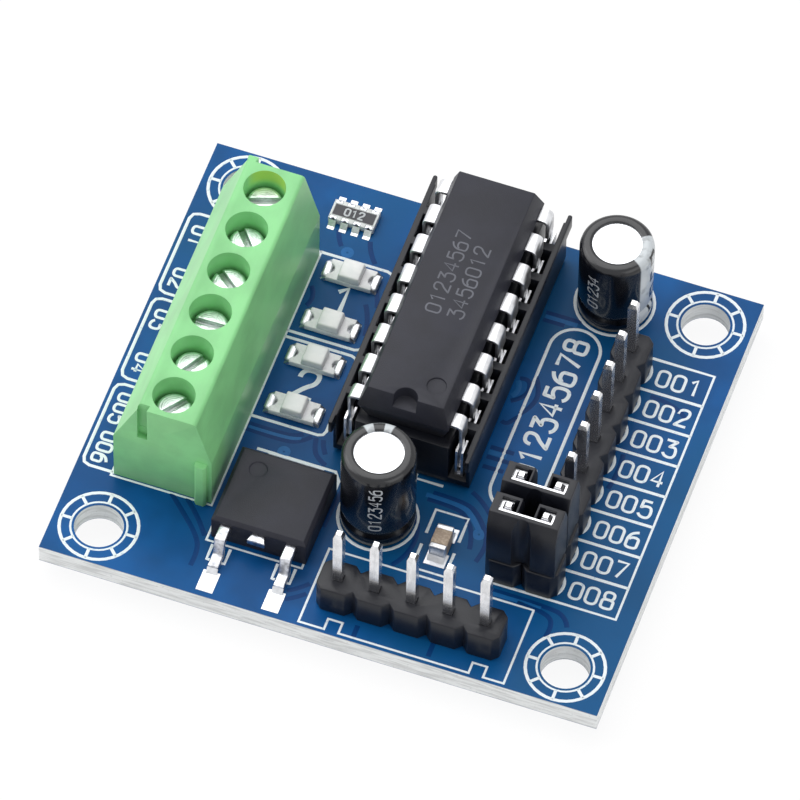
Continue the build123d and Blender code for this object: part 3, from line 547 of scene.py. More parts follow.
@dataclass(frozen=True)
class LegendInk:
    """White printed ink, thin enough to let a little of the board through."""

    name: str
    colour: Colour = shade(232, 240, 244)

    def material(self) -> bpy.types.Material:
        """Builds the material.

        Returns:
            The material.
        """
        shader = Shader(self.name)
        wear = shader.noise(0.35, 3.0)
        mottle = shader.noise(1.6, 2.0)
        colour = shader.mix(self.colour, shade(150, 186, 214), wear.ramp(0.6, 0.74) * 0.5)
        return shader.finish(
            Base_Color=colour, Roughness=0.5 + mottle * 0.15, Normal=shader.bump(wear, 0.004)
        )


@dataclass(frozen=True)
class ShrinkSleeve:
    """A glossy black sleeve with a pale stripe and dark bars up one side and over the rim."""

    name: str
    centre: Point
    bottom: float
    height: float
    stripe_turn: float
    stripe_half: float
    stripe: Colour = shade(196, 202, 206)
    film: Colour = shade(12, 14, 20)

    def material(self) -> bpy.types.Material:
        """Builds the material.

        Returns:
            The material.
        """
        shader = Shader(self.name)
        x, y, z = shader.spot()
        turn = math.radians(self.stripe_turn)
        forward = (x - self.centre[0]) * math.cos(turn) + (y - self.centre[1]) * math.sin(turn)
        sideways = (y - self.centre[1]) * math.cos(turn) - (x - self.centre[0]) * math.sin(turn)
        angle = sideways.math("ARCTAN2", forward)
        half = math.radians(self.stripe_half)
        worn = shader.noise(0.7, 3.0)
        band = abs(angle).ramp(half + 0.03, half - 0.03) * z.ramp(self.bottom + 0.3, self.bottom + 0.4)
        beat = (z - self.bottom - 0.3).math("WRAP", 1.75, 0.0)
        bar = beat.ramp(0.3, 0.38) * beat.ramp(1.4, 1.32) * abs(angle).ramp(0.2, 0.16)
        hollow = beat.ramp(0.48, 0.56) * beat.ramp(1.22, 1.14) * abs(angle).ramp(0.1, 0.06)
        pale = shader.mix(self.stripe, tone(self.stripe, 0.6), worn.ramp(0.5, 0.7))
        wrinkle = shader.noise(1.6, 3.0, (1.0, 1.0, 2.2))
        colour = shader.mix(self.film, pale, band * (1.0 - bar * (1.0 - hollow)))
        return shader.finish(
            Base_Color=colour,
            Roughness=0.22 + wrinkle * 0.08,
            Coat_Weight=0.3,
            Coat_Roughness=0.08,
            Specular_Ior_Level=0.4,
            Normal=shader.bump(wrinkle, 0.03),
        )


@dataclass(frozen=True)
class GlazedArray:
    """Black glaze over the middle of a white ceramic chip, bare at its rim and sides."""

    name: str
    centre: Point
    length: float
    width: float
    glaze: Colour = shade(26, 27, 36)
    ceramic: Colour = shade(226, 228, 228)

    def material(self) -> bpy.types.Material:
        """Builds the material.

        Returns:
            The material.
        """
        shader = Shader(self.name)
        x, y, _ = shader.spot()
        _, _, up = shader.facing()
        inside = abs(x - self.centre[0]).ramp(self.length / 2 - 0.1, self.length / 2 - 0.2)
        inside = inside * abs(y - self.centre[1]).ramp(self.width / 2 - 0.3, self.width / 2 - 0.4)
        grit = shader.noise(0.2, 2.0)
        bare = shader.mix(self.ceramic, tone(self.ceramic, 0.8), grit)
        return shader.finish(
            Base_Color=shader.mix(bare, self.glaze, inside * up.over(0.5)),
            Roughness=0.35 + grit * 0.1,
            Normal=shader.bump(inside + grit * 0.1, 0.02),
        )


@dataclass(frozen=True)
class FiredCeramic:
    """A fired or laminated body with fine grains of two tones."""

    name: str
    colour: Colour
    fleck: Colour
    roughness: float = 0.45
    grain: float = 0.16
    scatter: float = 0.0

    def material(self) -> bpy.types.Material:
        """Builds the material.

        Returns:
            The material.
        """
        shader = Shader(self.name)
        grit = shader.noise(self.grain, 3.0)
        cloud = shader.noise(1.1, 2.0)
        share = (grit * 0.6 + cloud * 0.4).ramp(0.4, 0.64)
        return shader.finish(
            Base_Color=shader.mix(self.colour, self.fleck, share),
            Roughness=self.roughness + grit * 0.1,
            Subsurface_Weight=self.scatter,
            Subsurface_Radius=(0.5 * MM, 0.5 * MM, 0.5 * MM),
            Normal=shader.bump(grit, 0.008),
        )


@dataclass(frozen=True)
class FloorPaper:
    """A plain white floor that keeps part of the module's shadow."""

    name: str
    lift: float = 0.9

    def material(self) -> bpy.types.Material:
        """Builds the material.

        Returns:
            The material.
        """
        shader = Shader(self.name)
        shader.finish(Base_Color=(0.9, 0.9, 0.9), Roughness=0.9, Specular_Ior_Level=0.0)
        glow = shader.node(
            "ShaderNodeEmission", values={"Color": (1.0, 1.0, 1.0), "Strength": 1.02}
        )
        path = shader.node("ShaderNodeLightPath")
        seen = Sock(shader, path.outputs["Is Camera Ray"])
        seen = seen.most(Sock(shader, path.outputs["Is Glossy Ray"]))
        seen = seen.most(Sock(shader, path.outputs["Is Transmission Ray"]))
        mixer = shader.node(
            "ShaderNodeMixShader",
            values={0: seen * self.lift, 1: shader.principled.outputs[0], 2: glow.outputs[0]},
        )
        shader.feed(shader.output.inputs["Surface"], mixer.outputs[0])
        return shader.material


# Shape helpers


def to_object(mesh: bmesh.types.BMesh, name: str, crease: float = 35.0) -> bpy.types.Object:
    """Turns a bmesh in metres into a smooth-shaded object with sharp creases.

    Args:
        mesh: The shape, which is freed.
        name: The object's name.
        crease: Angle in degrees past which an edge stays sharp.

    Returns:
        The new object at the origin.
    """
    data = bpy.data.meshes.new(name)
    mesh.to_mesh(data)
    mesh.free()
    data.shade_smooth()
    data.set_sharp_from_angle(angle=math.radians(crease))
    piece = bpy.data.objects.new(name, data)
    bpy.context.scene.collection.objects.link(piece)
    return piece


def placed(
    piece: bpy.types.Object, body: str, material: bpy.types.Material,
    replaces: Sequence[str] = (),
) -> None:
    """Dresses a piece and ties it to a body of the frame.

    Args:
        piece: The piece.
        body: The body that it moves with.
        material: Its material.
        replaces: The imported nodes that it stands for.
    """
    piece.data.materials.clear()
    piece.data.materials.append(material)
    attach(piece, body)
    if replaces:
        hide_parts(*replaces)
    triangles = sum(len(face.vertices) - 2 for face in piece.data.polygons)
    LOG.info("%s: %d triangles on %s", piece.name, triangles, body)


def softened(
    node: str, name: str, width: float, segments: int = 2, crease: float = 30.0
) -> bpy.types.Object:
    """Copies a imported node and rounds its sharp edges.

    Args:
        node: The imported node's name.
        name: The new piece's name.
        width: How far the rounding reaches from an edge.
        segments: How many steps round it.
        crease: Angle in degrees past which an edge is rounded.

    Returns:
        The rounded copy.
    """
    mesh = bmesh.new()
    mesh.from_mesh(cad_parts[node].data)
    bmesh.ops.remove_doubles(mesh, verts=mesh.verts, dist=0.002 * MM)
    bmesh.ops.dissolve_limit(
        mesh, angle_limit=math.radians(1.0), verts=mesh.verts, edges=mesh.edges
    )
    limit = math.radians(crease)
    sharp = [edge for edge in mesh.edges if edge.is_manifold and edge.calc_face_angle(0) > limit]
    bmesh.ops.bevel(
        mesh, geom=sharp, offset=width * MM, offset_type="OFFSET", affect="EDGES",
        segments=segments, profile=0.5, clamp_overlap=True, material=-1,
    )
    return to_object(mesh, name)


def turned(profile: Sequence[Point], steps: int = 64) -> bmesh.types.BMesh:
    """Spins an open profile of (radius, height) points once round Z.

    Args:
        profile: The points, from one end on the axis or off it to the other.
        steps: How many steps make the turn.

    Returns:
        The spun shape in millimetres.
    """
    mesh = bmesh.new()
    verts = [mesh.verts.new((radius, 0.0, height)) for radius, height in profile]
    edges = [mesh.edges.new(pair) for pair in zip(verts, verts[1:])]
    bmesh.ops.spin(
        mesh, geom=verts + edges, cent=(0, 0, 0), axis=(0, 0, 1), angle=math.tau,
        steps=steps, use_merge=True,
    )
    bmesh.ops.remove_doubles(mesh, verts=mesh.verts, dist=1e-4)
    bmesh.ops.recalc_face_normals(mesh, faces=mesh.faces)
    return mesh


def gather(meshes: Iterable[tuple[bmesh.types.BMesh, Matrix]]) -> bmesh.types.BMesh:
    """Puts several shapes in millimetres at their places and turns them to metres.

    Args:
        meshes: Each shape, which is freed, with its place.

    Returns:
        All of them in one, in metres.
    """
    whole = bmesh.new()
    for mesh, place in meshes:
        bmesh.ops.transform(mesh, matrix=Matrix.Scale(MM, 4) @ place, verts=mesh.verts)
        data = bpy.data.meshes.new("part")
        mesh.to_mesh(data)
        mesh.free()
        whole.from_mesh(data)
        bpy.data.meshes.remove(data)
    return whole


def slab(
    size: tuple[float, float, float], rounding: float = 0.05, segments: int = 2
) -> bmesh.types.BMesh:
    """A flat block about the origin with rounded edges, standing on z = 0.

    Args:
        size: Its length, width and height.
        rounding: How far the rounding reaches.
        segments: How many steps round it.

    Returns:
        The block in millimetres.
    """
    mesh = bmesh.new()
    bmesh.ops.create_cube(mesh, size=1.0)
    bmesh.ops.translate(mesh, vec=(0, 0, 0.5), verts=mesh.verts)
    bmesh.ops.scale(mesh, vec=size, verts=mesh.verts)
    bmesh.ops.bevel(
        mesh, geom=mesh.edges[:], offset=rounding, offset_type="OFFSET", affect="EDGES",
        segments=segments, profile=0.5, clamp_overlap=True, material=-1,
    )
    return mesh


# Printed legend


@dataclass
class Stroke:
    """One line of ink through a few points."""

    points: Sequence[Point]
    line: Line = Line.STRAIGHT
    closed: bool = False


DIGITS: dict[str, list[Stroke]] = {
    "0": [Stroke([(0, 0.5), (0, 1), (0.6, 1), (0.6, 0.5), (0.6, 0), (0, 0)], Line.ROUND, True)],
    "1": [Stroke([(0.08, 0.78), (0.34, 1), (0.34, 0)])],
    "2": [
        Stroke(
            [(0.02, 0.72), (0.02, 1.04), (0.6, 1.06), (0.6, 0.62), (0.3, 0.4), (0, 0), (0, 0), (0.62, 0)],
            Line.ROUND,
        )
    ],
    "3": [
        Stroke(
            [(0, 1), (0.57, 1), (0.57, 1), (0.24, 0.6), (0.24, 0.6), (0.62, 0.64), (0.66, -0.06),
             (0.1, -0.06), (0, 0.16)],
            Line.ROUND,
        )
    ],
    "4": [Stroke([(0.44, 0), (0.44, 1), (0, 0.3), (0.62, 0.3)])],
    "5": [
        Stroke(
            [(0.55, 1), (0.08, 1), (0.08, 1), (0.05, 0.56), (0.05, 0.56), (0.3, 0.7), (0.64, 0.64),
             (0.64, -0.04), (0.1, -0.04), (0, 0.16)],
            Line.ROUND,
        )
    ],
    "6": [
        Stroke(
            [(0.5, 1), (0.2, 0.92), (0, 0.6), (0, 0.3), (0, -0.04), (0.6, -0.04), (0.6, 0.3), (0.6, 0.62),
             (0.2, 0.64), (0.08, 0.48)],
            Line.ROUND,
        )
    ],
    "7": [Stroke([(0, 1), (0.6, 1), (0.2, 0)])],
    "8": [
        Stroke([(0, 0.27), (0, 0.55), (0.6, 0.55), (0.6, 0.27), (0.6, -0.02), (0, -0.02)], Line.ROUND, True),
        Stroke(
            [(0.13, 0.55), (0.02, 0.66), (0.06, 1.02), (0.54, 1.02), (0.58, 0.66), (0.47, 0.55)], Line.ROUND
        ),
    ],
}


Digit = tuple[list[Stroke], Matrix]


def ribbons(strokes: Sequence[Stroke], width: float, lift: float, place: Matrix) -> bmesh.types.BMesh:
    """Draws strokes as flattened tubes that lie on z = 0.

    Args:
        strokes: The strokes, in their own small plane.
        width: The lines' width.
        lift: How far they stand up.
        place: Where that plane lies in the plan, in millimetres.

    Returns:
        The lines in millimetres.
    """
    curve = bpy.data.curves.new("strokes", "CURVE")
    curve.dimensions = "3D"
    curve.bevel_depth = width / 2
    curve.bevel_resolution = 1
    curve.resolution_u = 6
    curve.use_fill_caps = True
    for stroke in strokes:
        spline = curve.splines.new(stroke.line.value)
        spline.points.add(len(stroke.points) - 1)
        for point, (x, y) in zip(spline.points, stroke.points):
            spot = place @ Vector((x, y, 0))
            point.co = (spot.x, spot.y, 0.0, 1.0)
        spline.use_cyclic_u = stroke.closed
        if stroke.line is Line.ROUND:
            spline.order_u = 3
            spline.use_endpoint_u = not stroke.closed
    holder = bpy.data.objects.new("strokes", curve)
    data = bpy.data.meshes.new_from_object(holder)
    mesh = bmesh.new()
    mesh.from_mesh(data)
    bmesh.ops.scale(mesh, vec=(1, 1, 2 * lift / width), verts=mesh.verts)
    bpy.data.objects.remove(holder)
    bpy.data.curves.remove(curve)
    bpy.data.meshes.remove(data)
    return mesh


def number(text: str, x: float, y: float, height: float, turn: float = 0.0) -> list[Digit]:
    """Sets a number about a point.

    Args:
        text: Its digits.
        x: Middle of the number.
        y: Middle of the number.
        height: Height of a digit.
        turn: Turn in degrees, anticlockwise.

    Returns:
        Each digit's strokes with its place.
    """
    advance = 0.88
    start = -(len(text) - 1) * advance / 2 - 0.3
    base = Matrix.Translation((x, y, 0)) @ Matrix.Rotation(math.radians(turn), 4, "Z")
    base = base @ Matrix.Scale(height, 4)
    return [
        (DIGITS[digit], base @ Matrix.Translation((start + index * advance, -0.5, 0)))
        for index, digit in enumerate(text)
    ]


def rounded(points: Sequence[Point], cut: float) -> Stroke:
    """A run of straight lines with each inner corner cut twice, so that it looks round.

    Args:
        points: The corners.
        cut: How far from the corner the rounding starts.

    Returns:
        The stroke.
    """
    result = [points[0]]
    for before, corner, after in zip(points, points[1:], points[2:]):
        here = Vector(corner)
        back = (Vector(before) - here).normalized() * cut
        ahead = (Vector(after) - here).normalized() * cut
        result += [tuple(here + back), tuple(here + (back + ahead) * 0.28), tuple(here + ahead)]
    return Stroke(result + [points[-1]])


def ring(x: float, y: float, radius: float, start: float = 0, stop: float = 360) -> Stroke:
    """An arc about a point, from one angle to another in degrees.

    Args:
        x: Its middle.
        y: Its middle.
        radius: Its radius.
        start: Where it starts.
        stop: Where it ends. A full turn is closed.

    Returns:
        The arc.
    """
    whole = stop - start >= 360
    steps = max(6, round((stop - start) / 10))
    angles = [math.radians(start + (stop - start) * index / steps) for index in range(steps + (not whole))]
    return Stroke([(x + radius * math.cos(a), y + radius * math.sin(a)) for a in angles], closed=whole)


@dataclass
class Legend:
    """The white lines and plain numbers printed on the board."""

    line_width: float = 0.22
    digit_width: float = 0.2
    bold_width: float = 0.34
    pill_width: float = 0.27
    fine_width: float = 0.14
    lift: float = 0.02
    mount_x: float = 16.2
    mount_y: float = 14.35
    pitch: float = 2.54
    ring_inner: float = 1.88
    ring_outer: float = 2.62

    def outlines(self) -> list[Stroke]:
        """Every plain line of the legend.

        Returns:
            The strokes on the board's plane.
        """
        strokes = self.terminal_lines() + self.regulator_lines() + self.mount_rings() + self.signal_grid()
        pill = list(ring(8.68, 9.4, 1.73, 0, 180).points) + list(ring(8.68, -2.4, 1.73, 180, 360).points)
        strokes.append(Stroke(pill, closed=True))
        strokes += [ring(9.95, 13.98, 2.65), ring(0.8, -7.45, 2.65)]
        for side in (-1, 1):
            near, far = -8.0 + side * 0.45, -8.0 + side * 2.4
            strokes.append(Stroke([(4.2, near), (4.2, far), (6.47, far), (6.47, near)]))
        notches = [
            (x + step, y)
            for x in (10.9, 0.9)
            for step, y in ((0.5, -16.9), (0.5, -16.05), (-0.5, -16.05), (-0.5, -16.9))
        ]
        header = [(-1.37, -10.87), (12.82, -10.87), (12.82, -16.9)] + notches + [(-1.37, -16.9)]
        strokes.append(Stroke(header, closed=True))
        strokes.append(Stroke([(2.1, -3.35), (2.1, -3.72), (4.05, -3.72)]))
        return strokes

    def terminal_lines(self) -> list[Stroke]:
        """The terminal's outline, the three brackets by its entries and the two boxes behind it.

        Returns:
            The strokes.
        """
        strokes = [Stroke([(-16.85, 11.2), (-16.85, -10.3), (-9.8, -10.3), (-9.8, 11.2)], closed=True)]
        for index in range(3):
            top, bottom = 11.35 - 7.3 * index, 4.55 - 7.3 * index
            corners = [(-16.6, top), (-19.02, top), (-19.02, bottom), (-16.6, bottom)]
            strokes.append(rounded(corners, 0.55))
        for top, bottom in ((11.2, 4.5), (4.0, -2.7)):
            corners = [(-9.87, top), (-4.65, top), (-4.65, bottom), (-9.87, bottom)]
            strokes.append(rounded(corners, 0.45))
        return strokes

    def regulator_lines(self) -> list[Stroke]:
        """The regulator's outline, with a bracket on each side of its two leads.

        Returns:
            The strokes.
        """
        corners = [(-8.5, -5.05), (-3.0, -5.05), (-2.55, -5.7), (-2.55, -12.95), (-9.2, -12.95), (-9.2, -5.9)]
        strokes = [Stroke(corners)]
        for middle in (-8.06, -3.52):
            for side in (-1, 1):
                outer, inner = middle + side * 0.62, middle + side * 0.4
                strokes.append(Stroke([(outer, -13.15), (outer, -14.35), (inner, -14.35)]))
        return strokes

    def mounts(self) -> list[Point]:
        """The middle of each mounting hole."""
        return [(x, y) for x in (-self.mount_x, self.mount_x) for y in (-self.mount_y, self.mount_y)]

    def mount_rings(self) -> list[Stroke]:
        """A ring and eight spokes round each mounting hole.

        Returns:
            The strokes.
        """
        strokes = []
        for x, y in self.mounts():
            strokes.append(ring(x, y, self.ring_outer))
            for spoke in range(8):
                cosine, sine = math.cos(spoke * math.tau / 8), math.sin(spoke * math.tau / 8)
                inner, outer = self.ring_inner, self.ring_outer
                strokes.append(
                    Stroke([(x + inner * cosine, y + inner * sine), (x + outer * cosine, y + outer * sine)])
                )
        return strokes

    def signal_grid(self) -> list[Stroke]:
        """The table of plain numbers along the signal header, with a small arc by each pin.

        Returns:
            The strokes.
        """
        strokes = [Stroke([(13.75, 10.6), (18.1, 10.6), (18.1, -9.75), (9.4, -9.75)])]
        for index in range(7):
            y = 8.06 - self.pitch * index
            strokes.append(Stroke([(13.72, y), (18.1, y)]))
        for index in range(8):
            strokes.append(ring(12.9, 9.32 - self.pitch * index, 1.15, -50, 50))
        return strokes

    def numbers(self) -> list[Digit]:
        """The small plain numbers.

        Returns:
            Each digit's strokes with its place.
        """
        result = []
        entries = ("01", "02", "03", "04", "005", "006")
        for text, y in zip(entries, (9.6, 5.95, 2.4, -1.3, -5.15, -8.4)):
            result += number(text, -18.0, y, 1.0, -90)
        for index in range(8):
            result += number(f"{index + 1:03d}", 16.05, 9.27 - self.pitch * index, 1.25)
        return result

    def build(self) -> bmesh.types.BMesh:
        """Makes all the ink.

        Returns:
            The ink in metres, on the board's upper face.
        """
        flat = Matrix.Translation((0, 0, BOARD_TOP))
        meshes = [ribbons(self.outlines(), self.line_width, self.lift, Matrix.Identity(4))]
        meshes += [ribbons(strokes, self.digit_width, self.lift, place) for strokes, place in self.numbers()]
        bold = number("1", -7.15, 7.95, 2.15) + number("2", -7.15, 0.8, 2.15)
        meshes += [ribbons(strokes, self.bold_width, self.lift, place) for strokes, place in bold]
        pill = number("012345678", 8.68, 4.45, 1.5, 90)
        meshes += [ribbons(strokes, self.pill_width, self.lift, place) for strokes, place in pill]
        thin = [ring(x, y, self.ring_inner) for x, y in self.mounts()]
        meshes.append(ribbons(thin, self.fine_width, self.lift, Matrix.Identity(4)))
        return gather((mesh, flat) for mesh in meshes)

    def dress(self, workshop: "Workshop") -> None:
        """Lays the ink on the board."""
        placed(to_object(self.build(), "printed_legend", 60), "board", workshop.ink)


@dataclass
class CopperPattern:
    """Edges of the copper that show through the lacquer: dark gaps, pale tracks and vias."""

    gap_width: float = 0.34
    track_width: float = 0.36
    lift: float = 0.012

    def gaps(self) -> list[Stroke]:
        """Dark gaps between areas of copper.

        Returns:
            The strokes.
        """
        runs = [
            [(-12.6, -10.3), (-11.2, -11.6), (-10.0, -12.8), (-9.4, -13.9), (-9.5, -15.2)],
            [(-11.5, -10.3), (-10.4, -11.4), (-9.7, -12.3), (-9.4, -12.7)],
            [(-2.9, -14.9), (-2.3, -14.6), (-1.65, -13.9)],
            [(-2.8, -15.6), (-2.1, -15.2), (-1.6, -14.7)],
            [(-9.7, -3.35), (-7.6, -3.4), (-6.4, -3.3), (-6.0, -2.95)],
            [(-9.7, -3.8), (-7.4, -3.9), (-6.0, -3.7), (-5.4, -2.95)],
            [(-5.1, -2.95), (-5.0, -3.6), (-4.6, -4.4), (-3.8, -4.8)],
            [(-4.6, -2.95), (-4.5, -3.4), (-4.1, -4.0)],
            [(-7.0, 13.1), (-6.8, 12.3), (-6.1, 11.5)],
            [(-9.3, 13.3), (-9.1, 12.6), (-8.7, 12.1)],
            [(-6.2, 10.9), (-5.2, 9.6), (-4.8, 8.2)],
            [(-5.6, 8.2), (-5.0, 7.2), (-4.8, 5.8)],
            [(-9.5, 8.4), (-8.9, 7.6), (-9.3, 6.8)],
            [(3.6, -4.4), (5.9, -4.4), (6.9, -5.0), (7.9, -6.2), (8.3, -7.4), (8.0, -8.6)],
            [(3.4, -5.0), (5.4, -5.0), (6.3, -5.5), (7.1, -6.6), (7.3, -7.8)],
            [(6.0, -3.5), (6.9, -3.9), (7.8, -4.9)],
            [(5.9, 11.7), (8.4, 11.7)],
            [(5.9, 11.1), (7.4, 11.1)],
            [(6.0, 6.1), (6.6, 6.3), (6.95, 5.4), (6.6, 4.6), (6.0, 4.2)],
            [(6.95, 6.6), (7.6, 5.6), (7.5, 4.2), (6.9, 3.4)],
            [(5.95, 2.5), (6.3, 2.3), (6.7, 2.9), (6.95, 3.2)],
            [(5.95, 0.3), (7.6, 0.3)],
            [(5.95, -0.5), (7.6, -0.5)],
            [(5.95, -1.3), (7.4, -1.3)],
            [(9.6, -10.3), (13.8, -10.3), (15.0, -10.7), (15.3, -11.4)],
            [(11.6, -10.6), (13.6, -10.75), (14.4, -11.5), (14.2, -12.6)],
            [(3.0, -6.2), (3.7, -7.4), (3.7, -9.6), (2.9, -10.7)],
            [(-1.3, -4.4), (-2.3, -5.4), (-2.3, -9.4)],
            [(14.6, 7.7), (16.6, 7.6), (17.4, 6.7)],
            [(14.4, 2.7), (14.6, 1.2), (14.3, -0.2)],
            [(7.5, -12.3), (7.5, -16.6)],
            [(2.4, -15.9), (2.4, -16.8)],
        ]
        return [Stroke(run, Line.ROUND) for run in runs]

    def tracks(self) -> list[Stroke]:
        """Copper that catches more light, and the rims of three vias.

        Returns:
            The strokes.
        """
        runs = [
            [(5.95, 11.4), (8.2, 11.4)],
            [(5.95, 5.9), (6.4, 5.2), (5.95, 4.6)],
            [(5.95, -0.1), (7.2, -0.1)],
            [(3.2, -4.7), (5.7, -4.7), (6.6, -5.25), (7.4, -6.2)],
            [(-9.6, -3.6), (-7.0, -3.65), (-6.0, -3.4)],
            [(9.6, -10.5), (13.2, -10.5)],
        ]
        vias = [ring(x, y, 0.26) for x, y in ((-8.15, 11.75), (-6.75, -4.7), (7.5, -6.5))]
        return [Stroke(run, Line.ROUND) for run in runs] + vias

    def build(self, strokes: list[Stroke], width: float) -> bmesh.types.BMesh:
        """Makes one sort of line in metres, on the board's upper face."""
        mesh = ribbons(strokes, width, self.lift, Matrix.Identity(4))
        return gather([(mesh, Matrix.Translation((0, 0, BOARD_TOP)))])

    def dress(self, workshop: "Workshop") -> None:
        """Lays both sorts of line on the board.

        Args:
            workshop: The module's materials.
        """
        gaps = to_object(self.build(self.gaps(), self.gap_width), "copper_gaps", 60)
        placed(gaps, "board", workshop.gap)
        tracks = to_object(self.build(self.tracks(), self.track_width), "copper_tracks", 60)
        placed(tracks, "board", workshop.track)


Row = tuple[str, float, float, float, float]


@dataclass
class Marks:
    """Plain numbers marked faintly on the mouldings."""

    line_width: float = 0.12
    lift: float = 0.012
    longest_edge: float = 0.15
    chip_rows: tuple[Row, ...] = (("01234567", 0.35, 7.6, 1.0, 90), ("3456012", 1.9, 7.2, 1.0, 90))
    array_rows: tuple[Row, ...] = (("012", -8.63, 14.5, 0.55, 0),)

    def flat(self, rows: Sequence[Row], level: float) -> bmesh.types.BMesh:
        """Rows of digits on a level face.

        Args:
            rows: Each number's digits, middle, height and turn.
            level: Height of the face.

        Returns:
            The digits in metres.
        """
        digits = [pair for row in rows for pair in number(*row)]
        place = Matrix.Translation((0, 0, level))
        return gather(
            (ribbons(strokes, self.line_width, self.lift, spot), place) for strokes, spot in digits
        )

    def wrapped(
        self, text: str, centre: Point, radius: float, turn: float, level: float, height: float
    ) -> bmesh.types.BMesh:
        """A number that runs up a round sleeve.

        Args:
            text: Its digits.
            centre: The sleeve's axis in plan.
            radius: The sleeve's radius.
            turn: Direction in plan of the number, in degrees.
            level: Height of its middle.
            height: Height of a digit.

        Returns:
            The digits in metres.
        """
        whole = gather(
            (ribbons(strokes, self.line_width, self.lift, spot), Matrix.Scale(1 / MM, 4))
            for strokes, spot in number(text, 0, level, height, 90)
        )
        straight = [edge for edge in whole.edges if edge.calc_length() > self.longest_edge]
        bmesh.ops.subdivide_edges(whole, edges=straight, cuts=5, use_grid_fill=True)
        for vert in whole.verts:
            angle = math.radians(turn) + vert.co.x / radius
            reach = radius + vert.co.z
            vert.co = (centre[0] + reach * math.cos(angle), centre[1] + reach * math.sin(angle), vert.co.y)
        bmesh.ops.scale(whole, vec=(MM, MM, MM), verts=whole.verts)
        return whole

    def dress(self, workshop: "Workshop") -> None:
        """Marks the chip and the resistor array.

        Args:
            workshop: The module's materials.
        """
        for rows, node, name, slot, ink in (
            (self.chip_rows, "driver_chip_body", "chip_marks", "black_moulding", workshop.mark),
            (self.array_rows, "resistor_array_body", "array_marks", "array_black", workshop.print),
        ):
            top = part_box(node)[1][2] / MM
            placed(to_object(self.flat(rows, top), name, 60), "board", ink)


# Board


@dataclass
class BoardDetail:
    """Pads and solder on both faces of the board."""

    pad_height: float = 0.035
    pad_sink: float = 0.005
    bead_size: tuple[float, float, float] = (0.6, 1.3, 0.4)
    bead_reach: float = 1.68
    bead_sink: float = 0.01
    pin_radius: float = 0.3
    fillet_radius: float = 0.85
    fillet_height: float = 0.85
    light_x: float = -7.2
    light_rows: tuple[float, ...] = (9.9, 5.75, 2.7, -1.4)

    def pads(self) -> bmesh.types.BMesh:
        """Tinned pads on the upper face.

        Returns:
            The pads in metres.
        """
        pieces = []
        for x, y, length, width in self.upper_pads():
            pad = slab((length, width, self.pad_height), 0.015, 1)
            pieces.append((pad, Matrix.Translation((x, y, BOARD_TOP - self.pad_sink))))
        return gather(pieces)

    def light_ends(self) -> bmesh.types.BMesh:
        """Rounded solder up both ends of each indicator light.

        Returns:
            The solder in metres.
        """
        pieces = []
        for y in self.light_rows:
            for side in (-1, 1):
                spot = (self.light_x + side * self.bead_reach, y, BOARD_TOP - self.bead_sink)
                pieces.append((slab(self.bead_size, 0.17, 3), Matrix.Translation(spot)))
        return gather(pieces)

    def upper_pads(self) -> list[tuple[float, float, float, float]]:
        """Each upper pad's middle and size.

        Returns:
            The middle's x and y, the length and the width of each.
        """
        pads = [(-7.98, -16.0, 1.18, 1.65), (-3.42, -16.0, 1.18, 1.65), (-5.7, -8.75, 5.7, 6.7)]
        for y in self.light_rows:
            pads += [(self.light_x + side * 1.5, y, 0.9, 1.5) for side in (-1, 1)]
        for side in (-1, 1):
            pads += [(-8.63 + 0.84 * (index - 1.5), 14.5 + side * 0.95, 0.5, 0.85) for index in range(4)]
            pads.append((5.5, -8.24 + side * 1.05, 1.45, 1.1))
        return pads

    def fillet_profile(self) -> list[Point]:
        """A concave cone of solder as (radius, height) points hanging below the board.

        Returns:
            The points, from the board down to the middle of the tip.
        """
        steps = 6
        points = [(self.fillet_radius, 0.0)]
        for index in range(1, steps + 1):
            share = index / steps
            radius = self.pin_radius + (self.fillet_radius - self.pin_radius) * (1 - share) ** 2.2
            points.append((radius, -self.fillet_height * share))
        return points + [(0.0, -self.fillet_height - 0.06)]

    def dress(self, workshop: "Workshop") -> None:
        """Lays the pads and the solder on both faces.

        Args:
            workshop: The module's materials.
        """
        placed(to_object(self.pads(), "tinned_pads"), "board", workshop.solder)
        placed(to_object(self.light_ends(), "light_solder"), "board", workshop.solder)
        fillets = gather(
            (turned(self.fillet_profile(), 24), Matrix.Translation((x, y, 0.0))) for x, y in tails()
        )
        lower = to_object(fillets, "lower_solder_fillets", 60)
        placed(lower, "board", workshop.solder, ["solder_joints"])


def tails() -> list[Point]:
    """The middle of every tail under the board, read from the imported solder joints.

    Returns:
        Places in millimetres.
    """
    mesh = bmesh.new()
    mesh.from_mesh(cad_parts["solder_joints"].data)
    bmesh.ops.remove_doubles(mesh, verts=mesh.verts, dist=0.002 * MM)
    places = []
    left = set(mesh.verts)
    while left:
        island, queue = [], [left.pop()]
        while queue:
            vert = queue.pop()
            island.append(vert.co.copy())
            for edge in vert.link_edges:
                other = edge.other_vert(vert)
                if other in left:
                    left.remove(other)
                    queue.append(other)
        xs = [co.x / MM for co in island]
        ys = [co.y / MM for co in island]
        places.append(((min(xs) + max(xs)) / 2, (min(ys) + max(ys)) / 2))
    mesh.free()
    return places


# Jumper caps and terminal


